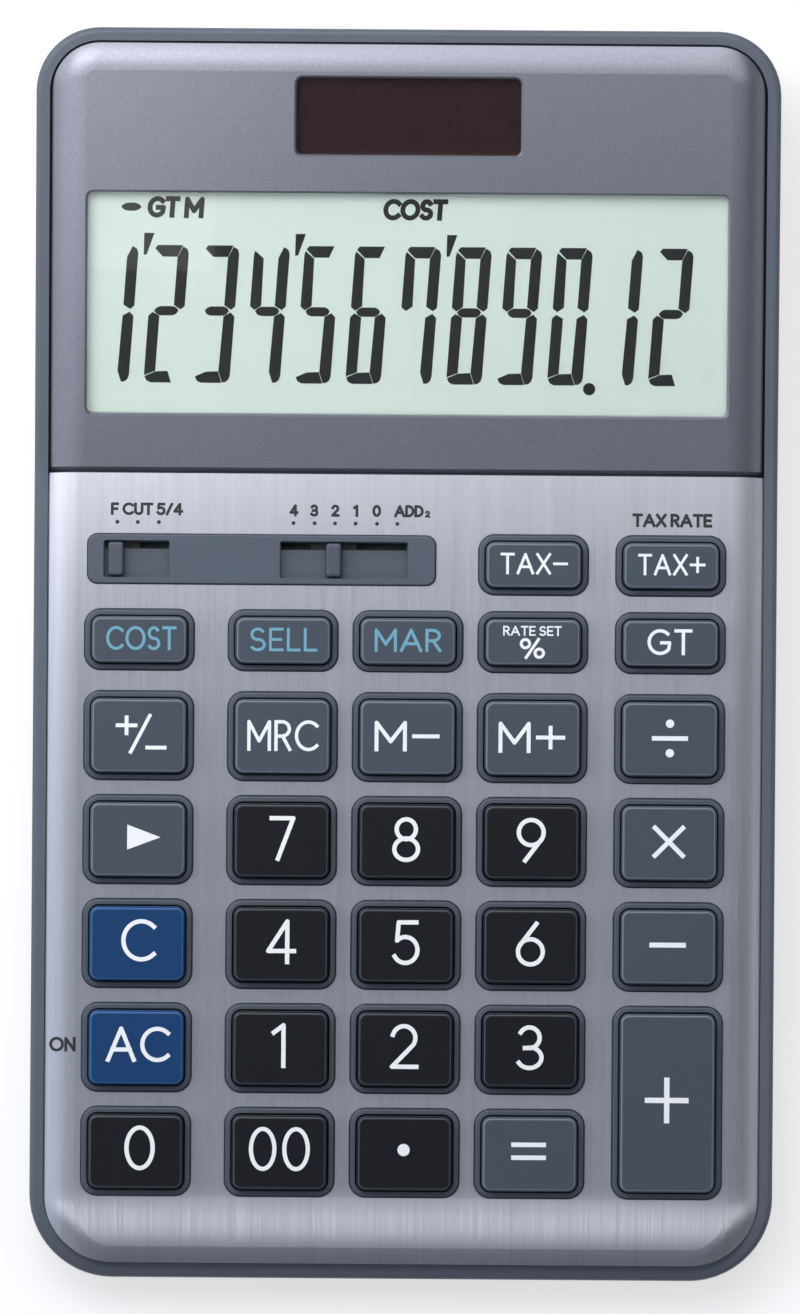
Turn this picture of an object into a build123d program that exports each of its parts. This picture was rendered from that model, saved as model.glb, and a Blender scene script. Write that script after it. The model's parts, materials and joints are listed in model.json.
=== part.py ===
from build123d import *
from math import cos, radians, sin, tan
import os

os.makedirs("parts", exist_ok=True)

# A desktop calculator. X runs across it, +Y towards its display, +Z up, all in millimetres.
# The origin is on the table, under the middle of the body.

# Whole body
body_width = 106.0
body_length = 177.2
rear_corner_radius = 9.1
front_corner_radius = 11.8
keypad_tilt = 3.5  # degrees
display_tilt = 9.5  # degrees
front_height = 10.509  # height of the keypad's plane over the body's front edge
overrun = 250.0  # longer than any cut has to reach
match_tolerance = 0.01

# Case
wall = 2.0
floor_thickness = 1.5
deck_thickness = 1.5
rim_width = 1.93
rim_depth = 1.25  # the rim's top lies this much under the plate's
rim_edge_radius = 0.8
rim_valley_radius = 60.0
parting_depth = 6.5  # the parting line lies this much under the plate's top
parting_chamfer = 0.25
base_edge_radius = 2.5
lip_thickness = 0.9
lip_height = 1.2
lip_clearance = 0.1
seat_clearance = 0.1  # round every insert in its hole

# Keypad plate
plate_thickness = 0.5
plate_gap = 0.1
plate_roll_radius = 7.0
plate_roll_run = 4.3
front_roll_run = 13.3  # from the start of the roll to the body's front
front_roll_radius = 40.0
front_roll_angle = 40.0  # degrees

# Display panel and its windows, with distances along the panel
panel_thickness = 1.5
panel_gap = 0.35
panel_roll_radius = 8.0
panel_roll_run = 4.8  # at the sides
panel_rear_run = 4.1
seam_gap = 0.45
seam_chamfer = 0.4
lcd_side_margin = 7.37  # from the body's side to the LCD window
lcd_window_height = 31.6
lcd_window_front = 8.5  # from the seam
solar_window_width = 32.0
solar_window_height = 11.0
window_bar = 5.5  # between the two windows
rear_margin = 7.175  # from the solar window to the body's rear
window_corner_radius = 0.9
window_chamfer = 0.3
window_recess = 0.35
window_flange = 1.0
window_flange_thickness = 0.8

# LCD and solar cell
glass_clearance = 0.1
lcd_glass_side = 0.95  # how far the glass reaches past its window
lcd_glass_end = 2.2
lcd_glass_thickness = 2.0
lcd_bed_gap = 0.25
holder_side = 2.8  # how far the holder reaches past the glass
holder_end = 2.5
holder_depth = 2.6
holder_seat_clearance = 0.05
holder_lip = 4.5
ribbon_width_share = 0.34  # of the body's width
ribbon_thickness = 0.3
ribbon_notch_gap = 2.0
ribbon_overlap = 2.2
ribbon_landing = 1.4
solar_cell_side = 0.6
solar_cell_end = 0.2
solar_cell_thickness = 1.2

# Key layout: the rows as shares of the keypad's length, the columns as shares of the body's width
tax_row_share = 0.11155
short_row_share = 0.09633
function_row_share = 0.1196
number_row_share = 0.12957
inner_column_share = 0.167925
outer_column_share = 0.35689
column_shift = 0.45  # how far the three inner columns stand to the right

# Keys and the collars round them
collar_side_gap = 2.15  # between neighbours
tax_collar_gap = 2.4
margin_collar_gap = 2.3
full_collar_gap = 2.11
collar_side_band = 0.8
collar_end_band = 0.8
collar_corner_radius = 2.35
collar_inner_radius = 1.55
collar_height = 0.5
collar_edge_radius = 0.35
key_clearance = 0.25
key_height = 2.6  # above the plate
key_corner_radius = 1.3
key_edge_radius = 0.55
key_top_thickness = 1.3
key_wall = 1.1
key_flange = 1.0
key_flange_gap = 0.15
key_flange_thickness = 1.0
plunger_radius = 1.6
key_travel = 1.5

# Rubber mat, domes and board
travel_margin = 0.1
dome_height = 1.5
dome_base_radius = 4.0
dome_top_radius = 2.3
dome_wall = 0.6
dome_gap = 0.05
mat_thickness = 0.75
mat_side_margin = 7.0  # from the body's side
mat_front_margin = 10.5
mat_rear_step = 5.5  # from the first row of keys
mat_arm_step = 4.6
mat_arm_reach = 8.8
board_thickness = 1.2
board_side_margin = 6.0
board_rear = 6.5  # distance from the seam
board_front_margin = 10.3
board_post_radius = 1.9
post_gap = 0.4
chip_radius = 7.0
chip_height = 1.5
chip_edge_radius = 1.2
chip_place = 38.0  # distance from the seam

# Slide switches
bezel_width_share = 0.467925  # of the body's width
bezel_length = 7.1
bezel_shift_share = 0.193396
bezel_step = 0.5  # behind the first row of keys
bezel_corner_radius = 1.4
bezel_height = 0.55
bezel_edge_radius = 0.25
bezel_flange = 1.0
bezel_flange_thickness = 0.8
slot_length = 5.3  # along the keypad
slot_depth = 1.6
slot_end_gap = 0.63
slot_corner_radius = 0.4
slit_width = 1.0
slit_margin = 0.2
switch_pitch_share = 0.059476  # of the bezel's width, as the next two
rounding_first_share = -0.41875  # leftmost place of each knob, from the bezel's middle
decimal_first_share = 0.087702
knob_width = 2.3
knob_length = 4.9
knob_height = 0.9  # above the plate
knob_edge_radius = 0.45
knob_corner_radius = 0.5
stem_width = 0.7
stem_length = 1.8
slider_clearance = 0.1
carrier_width = 6.6
carrier_length = 6.0
carrier_thickness = 1.0
wiper_thickness = 0.2
wiper_width = 3.6
wiper_reach = 2.9
wiper_foot_share = 0.8  # where the spring's ends turn flat, as a share of its reach
wiper_seat_share = 0.3
wiper_board_gap = 0.05
rounding_stops = 3
rounding_rest = 0
decimal_stops = 6
decimal_rest = 2

# Screws
case_screw_side = 8.8  # from the body's side
case_screw_front = 6.6
case_screw_rear = 8.6
case_screw_step = 0.3  # behind the seam
case_boss_radius = 3.5
case_seat_thickness = 2.0
case_head_radius = 2.3
case_head_height = 1.5
case_shank_radius = 1.25
case_shank_length = 5.0
board_head_radius = 2.0
board_head_height = 1.2
board_shank_radius = 1.0
board_shank_length = 4.2
cover_head_radius = 2.1
cover_head_height = 0.9
cover_shank_radius = 1.0
cover_shank_length = 3.6
screw_clearance = 0.1
screw_end_gap = 0.4
cross_length_share = 1.3
cross_width_share = 0.34
cross_depth_share = 0.55

# Battery bay in the floor
bay_x = -20.0
bay_step = 28.3  # behind the seam
cover_width = 34.0
cover_length = 18.0
cover_corner_radius = 2.0
cover_clearance = 0.15
bay_wall = 2.0
well_shift = 7.0
cover_screw_shift = 11.0
cell_radius = 5.8
cell_height = 3.1
cell_edge_radius = 0.5
cell_clearance = 0.2
cell_gap = 0.1
contact_thickness = 0.3
contact_width = 3.6
contact_clearance = 0.1
contact_shift = 3.4
bay_ceiling = 1.4
tab_height = 1.5
grip_groove = 0.4
grip_pitch = 2.2
grip_count = 4

# Wires
wire_radius = 0.4
wire_bend = 1.2
wire_end_bend = 0.6
wire_level = 10.6
wire_hop = 1.3  # over the board's rear edge
wire_landing = 8.2  # distance from the seam
wire_pitch = 3.4
solar_wire_x = 13.0
solar_landing_x = -20.0
wire_end_gap = 0.03

# Underside
foot_stand = 1.0
foot_sink = 0.8
foot_radius = 5.0
foot_edge_radius = 0.3
foot_clearance = 0.1
foot_side = 12.0  # from the body's side
foot_front_margin = 20.6
foot_rear_margin = 16.6
rib_thickness = 1.2
rib_x = 13.0
rib_length_share = 0.7  # of the keypad's length
rib_place_share = 0.455  # from the seam to the ribs' middle
rib_gap = 0.3
label_side = 12.0  # from the body's side
label_gap = 4.0  # from the battery cover
label_length = 20.0
label_depth = 0.25
label_corner_radius = 1.5

# Sizes that follow from those above: display end, keypad, rows and columns
keypad_slope = radians(keypad_tilt)
display_slope = radians(display_tilt)
lcd_window_place = lcd_window_front + lcd_window_height / 2
solar_window_place = lcd_window_front + lcd_window_height + window_bar + solar_window_height / 2
display_length = solar_window_place + solar_window_height / 2 + rear_margin
seam_y = body_length / 2 - display_length * cos(display_slope)
keypad_length = body_length / 2 + seam_y
seam_height = front_height + keypad_length * tan(keypad_slope)
front_roll_start = keypad_length - front_roll_run
lcd_window_width = body_width - 2 * lcd_side_margin
lcd_glass_width = lcd_window_width + 2 * lcd_glass_side
lcd_glass_height = lcd_window_height + 2 * lcd_glass_end
holder_width = lcd_glass_width + 2 * holder_side
holder_height = lcd_glass_height + 2 * holder_end
ribbon_width = body_width * ribbon_width_share
solar_cell_width = solar_window_width + 2 * solar_cell_side
solar_cell_height = solar_window_height + 2 * solar_cell_end
tax_row = keypad_length * tax_row_share
short_row_pitch = keypad_length * short_row_share
function_row_pitch = keypad_length * function_row_share
number_row_pitch = keypad_length * number_row_share
inner_column = body_width * inner_column_share
outer_column = body_width * outer_column_share
collar_width = inner_column - collar_side_gap
tax_collar_length = short_row_pitch - tax_collar_gap
margin_collar_length = short_row_pitch - margin_collar_gap
full_collar_length = number_row_pitch - full_collar_gap

# Board, mat, switches, screws and underside
mat_width = body_width - 2 * mat_side_margin
mat_front = keypad_length - mat_front_margin
mat_rear = tax_row + mat_rear_step
mat_tax_rear = tax_row - mat_arm_step
mat_tax_inset = inner_column - mat_arm_reach
board_width = body_width - 2 * board_side_margin
board_front = keypad_length - board_front_margin
board_screw_x = (inner_column + outer_column) / 2
bezel_width = body_width * bezel_width_share
bezel_x = -body_width * bezel_shift_share
bezel_place = tax_row - bezel_step
switch_pitch = bezel_width * switch_pitch_share
rounding_first = bezel_x + bezel_width * rounding_first_share
decimal_first = bezel_x + bezel_width * decimal_first_share
case_screw_x = body_width / 2 - case_screw_side
case_screw_rows = [case_screw_front - body_length / 2, seam_y + case_screw_step, body_length / 2 - case_screw_rear]
bay_y = seam_y + bay_step
foot_x = body_width / 2 - foot_side
foot_front = foot_front_margin - body_length / 2
foot_rear = body_length / 2 - foot_rear_margin
rib_length = keypad_length * rib_length_share
rib_place = keypad_length * rib_place_share
label_left = bay_x + cover_width / 2 + label_gap
label_width = body_width / 2 - label_side - label_left
label_x = label_left + label_width / 2

# Planes and levels
seam_point = (0, seam_y, seam_height)
keypad_plane = Plane(origin=seam_point, x_dir=(1, 0, 0), z_dir=(0, -sin(keypad_slope), cos(keypad_slope)))
display_plane = Plane(origin=seam_point, x_dir=(1, 0, 0), z_dir=(0, -sin(display_slope), cos(display_slope)))
keypad_up = Axis(seam_point, keypad_plane.z_dir)
display_up = Axis(seam_point, display_plane.z_dir)
parting_plane = keypad_plane.offset(-parting_depth)
floor_top = foot_stand + floor_thickness
deck_bottom = plate_thickness + deck_thickness
ceiling_depth = panel_thickness + deck_thickness
flange_top = deck_bottom + key_flange_gap
flange_bottom = flange_top + key_flange_thickness
mat_top = flange_bottom + key_travel + travel_margin
board_top = mat_top + mat_thickness
board_bottom = board_top + board_thickness
bezel_bottom = deck_bottom + bezel_flange_thickness
slot_floor = slot_depth - bezel_height
carrier_top = bezel_bottom + slider_clearance
carrier_bottom = carrier_top + carrier_thickness


def keypad_point(distance, depth):
    """A point of the side view: forward of the seam along the plate, and down from the plate's top."""
    y = seam_y - distance * cos(keypad_slope) + depth * sin(keypad_slope)
    z = seam_height - distance * sin(keypad_slope) - depth * cos(keypad_slope)
    return (y, z)


def display_point(distance, depth):
    """A point of the side view: behind the seam along the display panel, and down from its top."""
    y = seam_y + distance * cos(display_slope) + depth * sin(display_slope)
    z = seam_height + distance * sin(display_slope) - depth * cos(display_slope)
    return (y, z)


def body_outline(inset, rear_stretch=0):
    """The body's plan outline, drawn in all round by inset and let out again at the rear."""
    with BuildSketch(mode=Mode.PRIVATE) as outline:
        with Locations((0, rear_stretch / 2)):
            Rectangle(body_width - 2 * inset, body_length - 2 * inset + rear_stretch)
        fillet(outline.vertices().group_by(Axis.Y)[-1], rear_corner_radius - inset)
        fillet(outline.vertices().group_by(Axis.Y)[0], front_corner_radius - inset)
    return outline.sketch


def skin_edges(form, end_y):
    """The edges round a form's upper skin, without the straight one at the seam end."""
    skin = form.faces().filter_by(lambda face: face.normal_at().Z > match_tolerance)
    outer = []
    for edge in form.edges():
        touching = [face for face in skin if any(edge.is_same(other) for other in face.edges())]
        if len(touching) == 1 and abs(edge.center().Y - end_y) > match_tolerance:
            outer.append(edge)
    return outer


def keypad_form(depth):
    """All that lies under the keypad plate's skin sunk by depth: bent down at the front, rolled at the sides."""
    roll_radius = plate_roll_radius - depth
    outline = body_outline(rim_width + plate_gap + plate_roll_run - roll_radius)
    bend = keypad_point(front_roll_start, depth)
    rear = keypad_point(-overrun, depth)
    with BuildPart() as form:
        with BuildSketch():
            add(outline)
            with Locations((0, seam_y)):
                Rectangle(overrun, overrun, align=(Align.CENTER, Align.MAX), mode=Mode.INTERSECT)
        extrude(amount=overrun)
        with BuildSketch(Plane.YZ):
            with BuildLine():
                heading = (-cos(keypad_slope), -sin(keypad_slope))
                curve = JernArc(bend, heading, front_roll_radius - depth, front_roll_angle)
                front = curve @ 1
                Polyline(bend, rear, (rear[0], -overrun), (front.X, -overrun), front)
            make_face()
        extrude(amount=overrun, both=True, mode=Mode.INTERSECT)
        fillet(skin_edges(form, seam_y), roll_radius)
    return form.part


def display_form(depth, setback=0):
    """All that lies under the display panel's skin sunk by depth, rolled at the sides and the rear."""
    roll_radius = panel_roll_radius - depth
    rear_reach = panel_roll_radius / tan((radians(90) - display_slope) / 2)
    rear_stretch = rear_reach - panel_rear_run - (panel_roll_radius - panel_roll_run)
    outline = body_outline(rim_width + panel_gap + panel_roll_run - roll_radius, rear_stretch)
    with BuildPart() as form:
        with BuildSketch():
            add(outline)
            with Locations((0, seam_y + setback)):
                Rectangle(overrun, overrun, align=(Align.CENTER, Align.MIN), mode=Mode.INTERSECT)
        extrude(amount=overrun)
        split(bisect_by=display_plane.offset(-depth), keep=Keep.BOTTOM)
        fillet(skin_edges(form, seam_y + setback), roll_radius)
    return form.part


def case_band(outer_inset, inner_inset, low_depth, high_depth):
    """A ring that follows the body's outline, between two levels under the plate's top."""
    outer = body_outline(outer_inset)
    inner = body_outline(inner_inset)
    with BuildPart() as band:
        with BuildSketch():
            add(outer)
            add(inner, mode=Mode.SUBTRACT)
        extrude(amount=overrun)
        split(bisect_by=keypad_plane.offset(-low_depth), keep=Keep.TOP)
        split(bisect_by=keypad_plane.offset(-high_depth), keep=Keep.BOTTOM)
    return band.part


def screw(seat, head_radius, head_height, shank_radius, shank_length):
    """A pan-head screw whose head sits on the seat plane, with its shank along the plane's normal."""
    with BuildPart() as fastener:
        with BuildSketch(seat):
            Circle(shank_radius)
        extrude(amount=shank_length)
        with BuildSketch(seat):
            Circle(head_radius)
        extrude(amount=-head_height)
        with BuildSketch(seat.offset(-head_height)):
            Rectangle(head_radius * cross_length_share, head_radius * cross_width_share)
            Rectangle(head_radius * cross_width_share, head_radius * cross_length_share)
        extrude(amount=head_height * cross_depth_share, mode=Mode.SUBTRACT)
    return fastener.part


def finish(piece, name):
    """Label a piece and write its file."""
    piece.label = name
    export_step(piece, f"parts/{name}.step")


# The keys' seats: each key's name, the middle of its collar on the plate, and the collar's size
inner_columns = [column_shift - inner_column, column_shift, column_shift + inner_column]
columns = [-outer_column, *inner_columns, outer_column]
rows = [tax_row, tax_row + short_row_pitch, tax_row + short_row_pitch + function_row_pitch]
for _ in range(4):
    rows.append(rows[-1] + number_row_pitch)
row_lengths = [tax_collar_length, margin_collar_length] + [full_collar_length] * 5
key_rows = [
    [None, None, None, "tax_minus", "tax_plus"],
    ["cost", "sell", "margin", "percent", "grand_total"],
    ["sign", "memory_recall", "memory_minus", "memory_plus", "divide"],
    ["backspace", "seven", "eight", "nine", "multiply"],
    ["clear", "four", "five", "six", "minus"],
    ["all_clear", "one", "two", "three", None],
    ["zero", "double_zero", "point", "equals", None],
]
key_seats = {}
for names, row, length in zip(key_rows, rows, row_lengths):
    for name, column in zip(names, columns):
        if name:
            key_seats[f"key_{name}"] = (column, -row, length)
key_seats["key_plus"] = (outer_column, -(rows[-1] + rows[-2]) / 2, full_collar_length + number_row_pitch)


def seat_outlines(side_step, end_step, radius):
    """A rounded rectangle at every key's seat, drawn in from its collar by the two steps."""
    with BuildSketch(mode=Mode.PRIVATE) as sketch:
        for x, y, length in key_seats.values():
            with Locations((x, y)):
                RectangleRounded(collar_width - 2 * side_step, length - 2 * end_step, radius)
    return sketch.sketch


def bezel_outline(clearance):
    """The switch bezel's outline on the keypad, let out all round by a clearance."""
    with BuildSketch(mode=Mode.PRIVATE) as sketch:
        with Locations((bezel_x, -bezel_place)):
            RectangleRounded(
                bezel_width + 2 * clearance, bezel_length + 2 * clearance, bezel_corner_radius + clearance
            )
    return sketch.sketch


# Places shared by the board, its screws and the mat: each row of board screws is midway between two key rows
board_screw_rows = [(rows[first] + rows[first + 1]) / 2 for first in (1, 3, 5)]
board_screw_places = [(x, -row) for row in board_screw_rows for x in (-board_screw_x, board_screw_x)]
case_screw_places = [(x, y) for y in case_screw_rows for x in (-case_screw_x, case_screw_x)]
dome_places = [(x, y) for x, y, _ in key_seats.values()]


def parting_height(y):
    """Height of the parting line at a place along the body."""
    return seam_height + (y - seam_y) * tan(keypad_slope) - parting_depth / cos(keypad_slope)


# Slide switches: for each, the knob's first place, its stops, and the stop where it rests
switches = {
    "rounding": (rounding_first, rounding_stops, rounding_rest),
    "decimal": (decimal_first, decimal_stops, decimal_rest),
}
bezel_y = -bezel_place
slit_y = bezel_y + slot_length / 2 - slit_margin - slit_width / 2

# Top case: the deck under plate and panel, seen as a block first
deck_outline = body_outline(rim_width)
with BuildPart() as deck_block:
    add(keypad_form(plate_thickness))
    add(display_form(panel_thickness))
    with BuildSketch():
        add(deck_outline)
    extrude(amount=overrun, mode=Mode.INTERSECT)

# Top case: the space inside it, round its posts and bosses
inner_outline = body_outline(wall)
with BuildPart() as top_cavity:
    add(keypad_form(deck_bottom))
    add(display_form(ceiling_depth))
    with BuildSketch():
        add(inner_outline)
    extrude(amount=overrun, mode=Mode.INTERSECT)
    with BuildSketch(keypad_plane.offset(-board_top)):
        with Locations(*board_screw_places):
            Circle(board_post_radius)
    extrude(amount=board_top, mode=Mode.SUBTRACT)
    with BuildSketch():
        with Locations(*case_screw_places):
            Circle(case_boss_radius)
    extrude(amount=overrun, mode=Mode.SUBTRACT)

# Top case: the openings in its deck for the keys, the switch bezel, the LCD glass and the solar cell
hole_outlines = seat_outlines(collar_side_band, collar_end_band, collar_inner_radius)
bezel_hole = bezel_outline(seat_clearance)
with BuildPart() as deck_openings:
    with BuildSketch(keypad_plane.offset(-deck_bottom)):
        add(hole_outlines)
        add(bezel_hole)
    extrude(amount=deck_bottom + collar_height, both=True)
    with BuildSketch(display_plane.offset(-ceiling_depth)):
        with Locations((0, lcd_window_place)):
            Rectangle(lcd_glass_width + 2 * lcd_bed_gap, lcd_glass_height + 2 * lcd_bed_gap)
        with Locations((0, solar_window_place)):
            Rectangle(
                solar_window_width + 2 * (window_flange + lcd_bed_gap), solar_cell_height + 2 * lcd_bed_gap
            )
    extrude(amount=ceiling_depth, both=True)

# Top case: pilot holes for the board screws and the case screws, and a relief for the tray's lip
full_outline = body_outline(0)
rim_relief = case_band(
    wall - lip_thickness - lip_clearance, wall, parting_depth, parting_depth - lip_height - lip_clearance
)
with BuildPart() as top_cuts:
    with BuildSketch(keypad_plane.offset(-board_top)):
        with Locations(*board_screw_places):
            Circle(board_shank_radius + screw_clearance)
    extrude(amount=board_shank_length - board_thickness + screw_end_gap)
    for x, y in case_screw_places:
        with BuildSketch(Plane.XY.offset(parting_height(y) - case_seat_thickness)):
            with Locations((x, y)):
                Circle(case_shank_radius + screw_clearance)
        extrude(amount=case_shank_length + screw_end_gap)
    add(rim_relief)

# Top case: the collars that stand up through the plate, before their holes are cut
collar_outlines = seat_outlines(0, 0, collar_corner_radius)
with BuildPart() as collar_blocks:
    with BuildSketch(keypad_plane.offset(-(plate_thickness + deck_bottom) / 2)):
        add(collar_outlines)
    extrude(amount=(plate_thickness + deck_bottom) / 2 + collar_height)
    fillet(collar_blocks.faces().group_by(keypad_up)[-1].edges(), collar_edge_radius)

# Top case, whole
rim_meeting = keypad_point(-rim_depth * tan((display_slope - keypad_slope) / 2), rim_depth)
with BuildPart() as top_case:
    with BuildSketch():
        add(full_outline)
    extrude(amount=overrun)
    with BuildSketch(Plane.YZ) as rim_profile:
        with BuildLine():
            rim_bend = keypad_point(front_roll_start, rim_depth)
            rim_rear = display_point(overrun, rim_depth)
            rim_heading = (-cos(keypad_slope), -sin(keypad_slope))
            rim_curve = JernArc(rim_bend, rim_heading, front_roll_radius - rim_depth, front_roll_angle)
            rim_front = rim_curve @ 1
            Polyline(rim_bend, rim_meeting, rim_rear, (rim_rear[0], -overrun), (rim_front.X, -overrun), rim_front)
        make_face()
        fillet(rim_profile.vertices().sort_by_distance((*rim_meeting, 0))[0], rim_valley_radius)
    extrude(amount=overrun, both=True, mode=Mode.INTERSECT)
    fillet(skin_edges(top_case, overrun), rim_edge_radius)
    with BuildSketch():
        add(deck_outline)
    extrude(amount=overrun, mode=Mode.SUBTRACT)
    add(deck_block.part)
    split(bisect_by=parting_plane, keep=Keep.TOP)
    chamfer(top_case.faces().sort_by(keypad_up)[0].outer_wire().edges(), parting_chamfer)
    add(collar_blocks.part)
    add(top_cavity.part, mode=Mode.SUBTRACT)
    add(deck_openings.part, mode=Mode.SUBTRACT)
    add(top_cuts.part, mode=Mode.SUBTRACT)
finish(top_case.part, "top_case")

# Keypad plate
plate_outline = body_outline(rim_width + plate_gap)
plate_windows = seat_outlines(-seat_clearance, -seat_clearance, collar_corner_radius + seat_clearance)
with BuildPart() as keypad_plate:
    add(keypad_form(0))
    add(keypad_form(plate_thickness), mode=Mode.SUBTRACT)
    with BuildSketch():
        add(plate_outline)
    extrude(amount=overrun, mode=Mode.INTERSECT)
    with BuildSketch(keypad_plane):
        add(plate_windows)
        add(bezel_hole)
    extrude(amount=plate_thickness * 2, both=True, mode=Mode.SUBTRACT)
finish(keypad_plate.part, "keypad_plate")

# Display panel
panel_outline = body_outline(rim_width + panel_gap)
with BuildPart() as display_panel:
    add(display_form(0, seam_gap))
    add(display_form(panel_thickness, seam_gap), mode=Mode.SUBTRACT)
    with BuildSketch():
        add(panel_outline)
    extrude(amount=overrun, mode=Mode.INTERSECT)
    seam_face = display_panel.faces().sort_by(Axis.Y)[0]
    chamfer(seam_face.edges().filter_by(Axis.X).sort_by(Axis.Z)[-1], seam_chamfer)
    with BuildSketch(display_plane):
        with Locations((0, lcd_window_place)):
            RectangleRounded(lcd_window_width, lcd_window_height, window_corner_radius)
        with Locations((0, solar_window_place)):
            RectangleRounded(solar_window_width, solar_window_height, window_corner_radius)
    extrude(amount=-panel_thickness * 2, mode=Mode.SUBTRACT)
    window_edges = display_panel.faces().sort_by(display_up)[-1].inner_wires().edges()
    chamfer(window_edges, window_chamfer)
finish(display_panel.part, "display_panel")


def window(width, height, place, flange_x, flange_y):
    """A clear window: a boss in the panel's opening, over a flange glued under the panel."""
    with BuildPart() as pane:
        with BuildSketch(display_plane.offset(-window_recess)):
            with Locations((0, place)):
                RectangleRounded(
                    width - 2 * seat_clearance, height - 2 * seat_clearance, window_corner_radius - seat_clearance
                )
        extrude(amount=window_recess - panel_thickness)
        with BuildSketch(display_plane.offset(-panel_thickness)):
            with Locations((0, place)):
                Rectangle(width - 2 * seat_clearance + 2 * flange_x, height - 2 * seat_clearance + 2 * flange_y)
        extrude(amount=-window_flange_thickness)
    return pane.part


finish(window(lcd_window_width, lcd_window_height, lcd_window_place, 0, window_flange), "lcd_window")
finish(window(solar_window_width, solar_window_height, solar_window_place, window_flange, 0), "solar_window")

# LCD glass and solar cell, just under their windows
glass_top = panel_thickness + window_flange_thickness + glass_clearance
with BuildPart() as lcd_glass:
    with BuildSketch(display_plane.offset(-glass_top)):
        with Locations((0, lcd_window_place)):
            Rectangle(lcd_glass_width, lcd_glass_height)
    extrude(amount=-lcd_glass_thickness)
finish(lcd_glass.part, "lcd_glass")

with BuildPart() as solar_cell:
    with BuildSketch(display_plane.offset(-glass_top)):
        with Locations((0, solar_window_place)):
            Rectangle(solar_cell_width, solar_cell_height)
    extrude(amount=-solar_cell_thickness)
finish(solar_cell.part, "solar_cell")

# LCD holder: a shallow tray under the deck, open in the middle and notched for the ribbon
glass_bottom = glass_top + lcd_glass_thickness
with BuildPart() as lcd_holder:
    with BuildSketch(display_plane):
        with Locations((0, lcd_window_place)):
            Rectangle(holder_width, holder_height)
    extrude(amount=-ceiling_depth - holder_depth)
    add(display_form(ceiling_depth + holder_seat_clearance), mode=Mode.INTERSECT)
    with BuildSketch(display_plane):
        with Locations((0, lcd_window_place)):
            Rectangle(lcd_glass_width + 2 * lcd_bed_gap, lcd_glass_height + 2 * lcd_bed_gap)
    extrude(amount=-glass_bottom - glass_clearance, mode=Mode.SUBTRACT)
    with BuildSketch(display_plane):
        with Locations((0, lcd_window_place)):
            Rectangle(lcd_glass_width - 2 * holder_lip, lcd_glass_height - 2 * holder_lip)
        with Locations((0, lcd_window_place - holder_height / 2)):
            Rectangle(ribbon_width + 2 * ribbon_notch_gap, 2 * holder_lip + holder_height - lcd_glass_height)
    extrude(amount=-overrun, mode=Mode.SUBTRACT)
finish(lcd_holder.part, "lcd_holder")

# Ribbon from the glass's front ledge down to the board
ledge = lcd_window_place - lcd_glass_height / 2
ribbon_points = [
    display_point(ledge + ribbon_overlap, glass_bottom),
    display_point(ledge, glass_bottom),
    keypad_point(0, glass_bottom),
    keypad_point(board_rear - ribbon_overlap, board_top - ribbon_overlap / 2),
    keypad_point(board_rear + ribbon_thickness, board_top - ribbon_thickness),
    keypad_point(board_rear + ribbon_landing, board_top - ribbon_thickness),
]
ribbon_under = [(y, z - ribbon_thickness) for y, z in reversed(ribbon_points)]
with BuildPart() as lcd_ribbon:
    with BuildSketch(Plane.YZ):
        with BuildLine():
            Polyline(*ribbon_points, *ribbon_under, close=True)
        make_face()
    extrude(amount=ribbon_width / 2, both=True)
finish(lcd_ribbon.part, "lcd_ribbon")

# Switch bezel: a raised bar with one slot for each knob, and a slit in each slot's floor
with BuildPart() as switch_bezel:
    with BuildSketch(keypad_plane.offset(-bezel_bottom)):
        with Locations((bezel_x, bezel_y)):
            RectangleRounded(bezel_width, bezel_length, bezel_corner_radius)
    extrude(amount=bezel_bottom + bezel_height)
    fillet(switch_bezel.faces().sort_by(keypad_up)[-1].edges(), bezel_edge_radius)
    with BuildSketch(keypad_plane.offset(-bezel_bottom)):
        with Locations((bezel_x, bezel_y)):
            Rectangle(bezel_width + 2 * bezel_flange, bezel_length + 2 * bezel_flange)
    extrude(amount=bezel_flange_thickness)
    for first, stops, _ in switches.values():
        travel = switch_pitch * (stops - 1)
        length = travel + knob_width + 2 * slot_end_gap
        with BuildSketch(keypad_plane.offset(bezel_height)):
            with Locations((first + travel / 2, bezel_y)):
                RectangleRounded(length, slot_length, slot_corner_radius)
        extrude(amount=-slot_depth, mode=Mode.SUBTRACT)
        with BuildSketch(keypad_plane):
            with Locations((first + travel / 2, slit_y)):
                Rectangle(length - 2 * slit_margin, slit_width)
        extrude(amount=-bezel_bottom, mode=Mode.SUBTRACT)
finish(switch_bezel.part, "switch_bezel")

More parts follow.
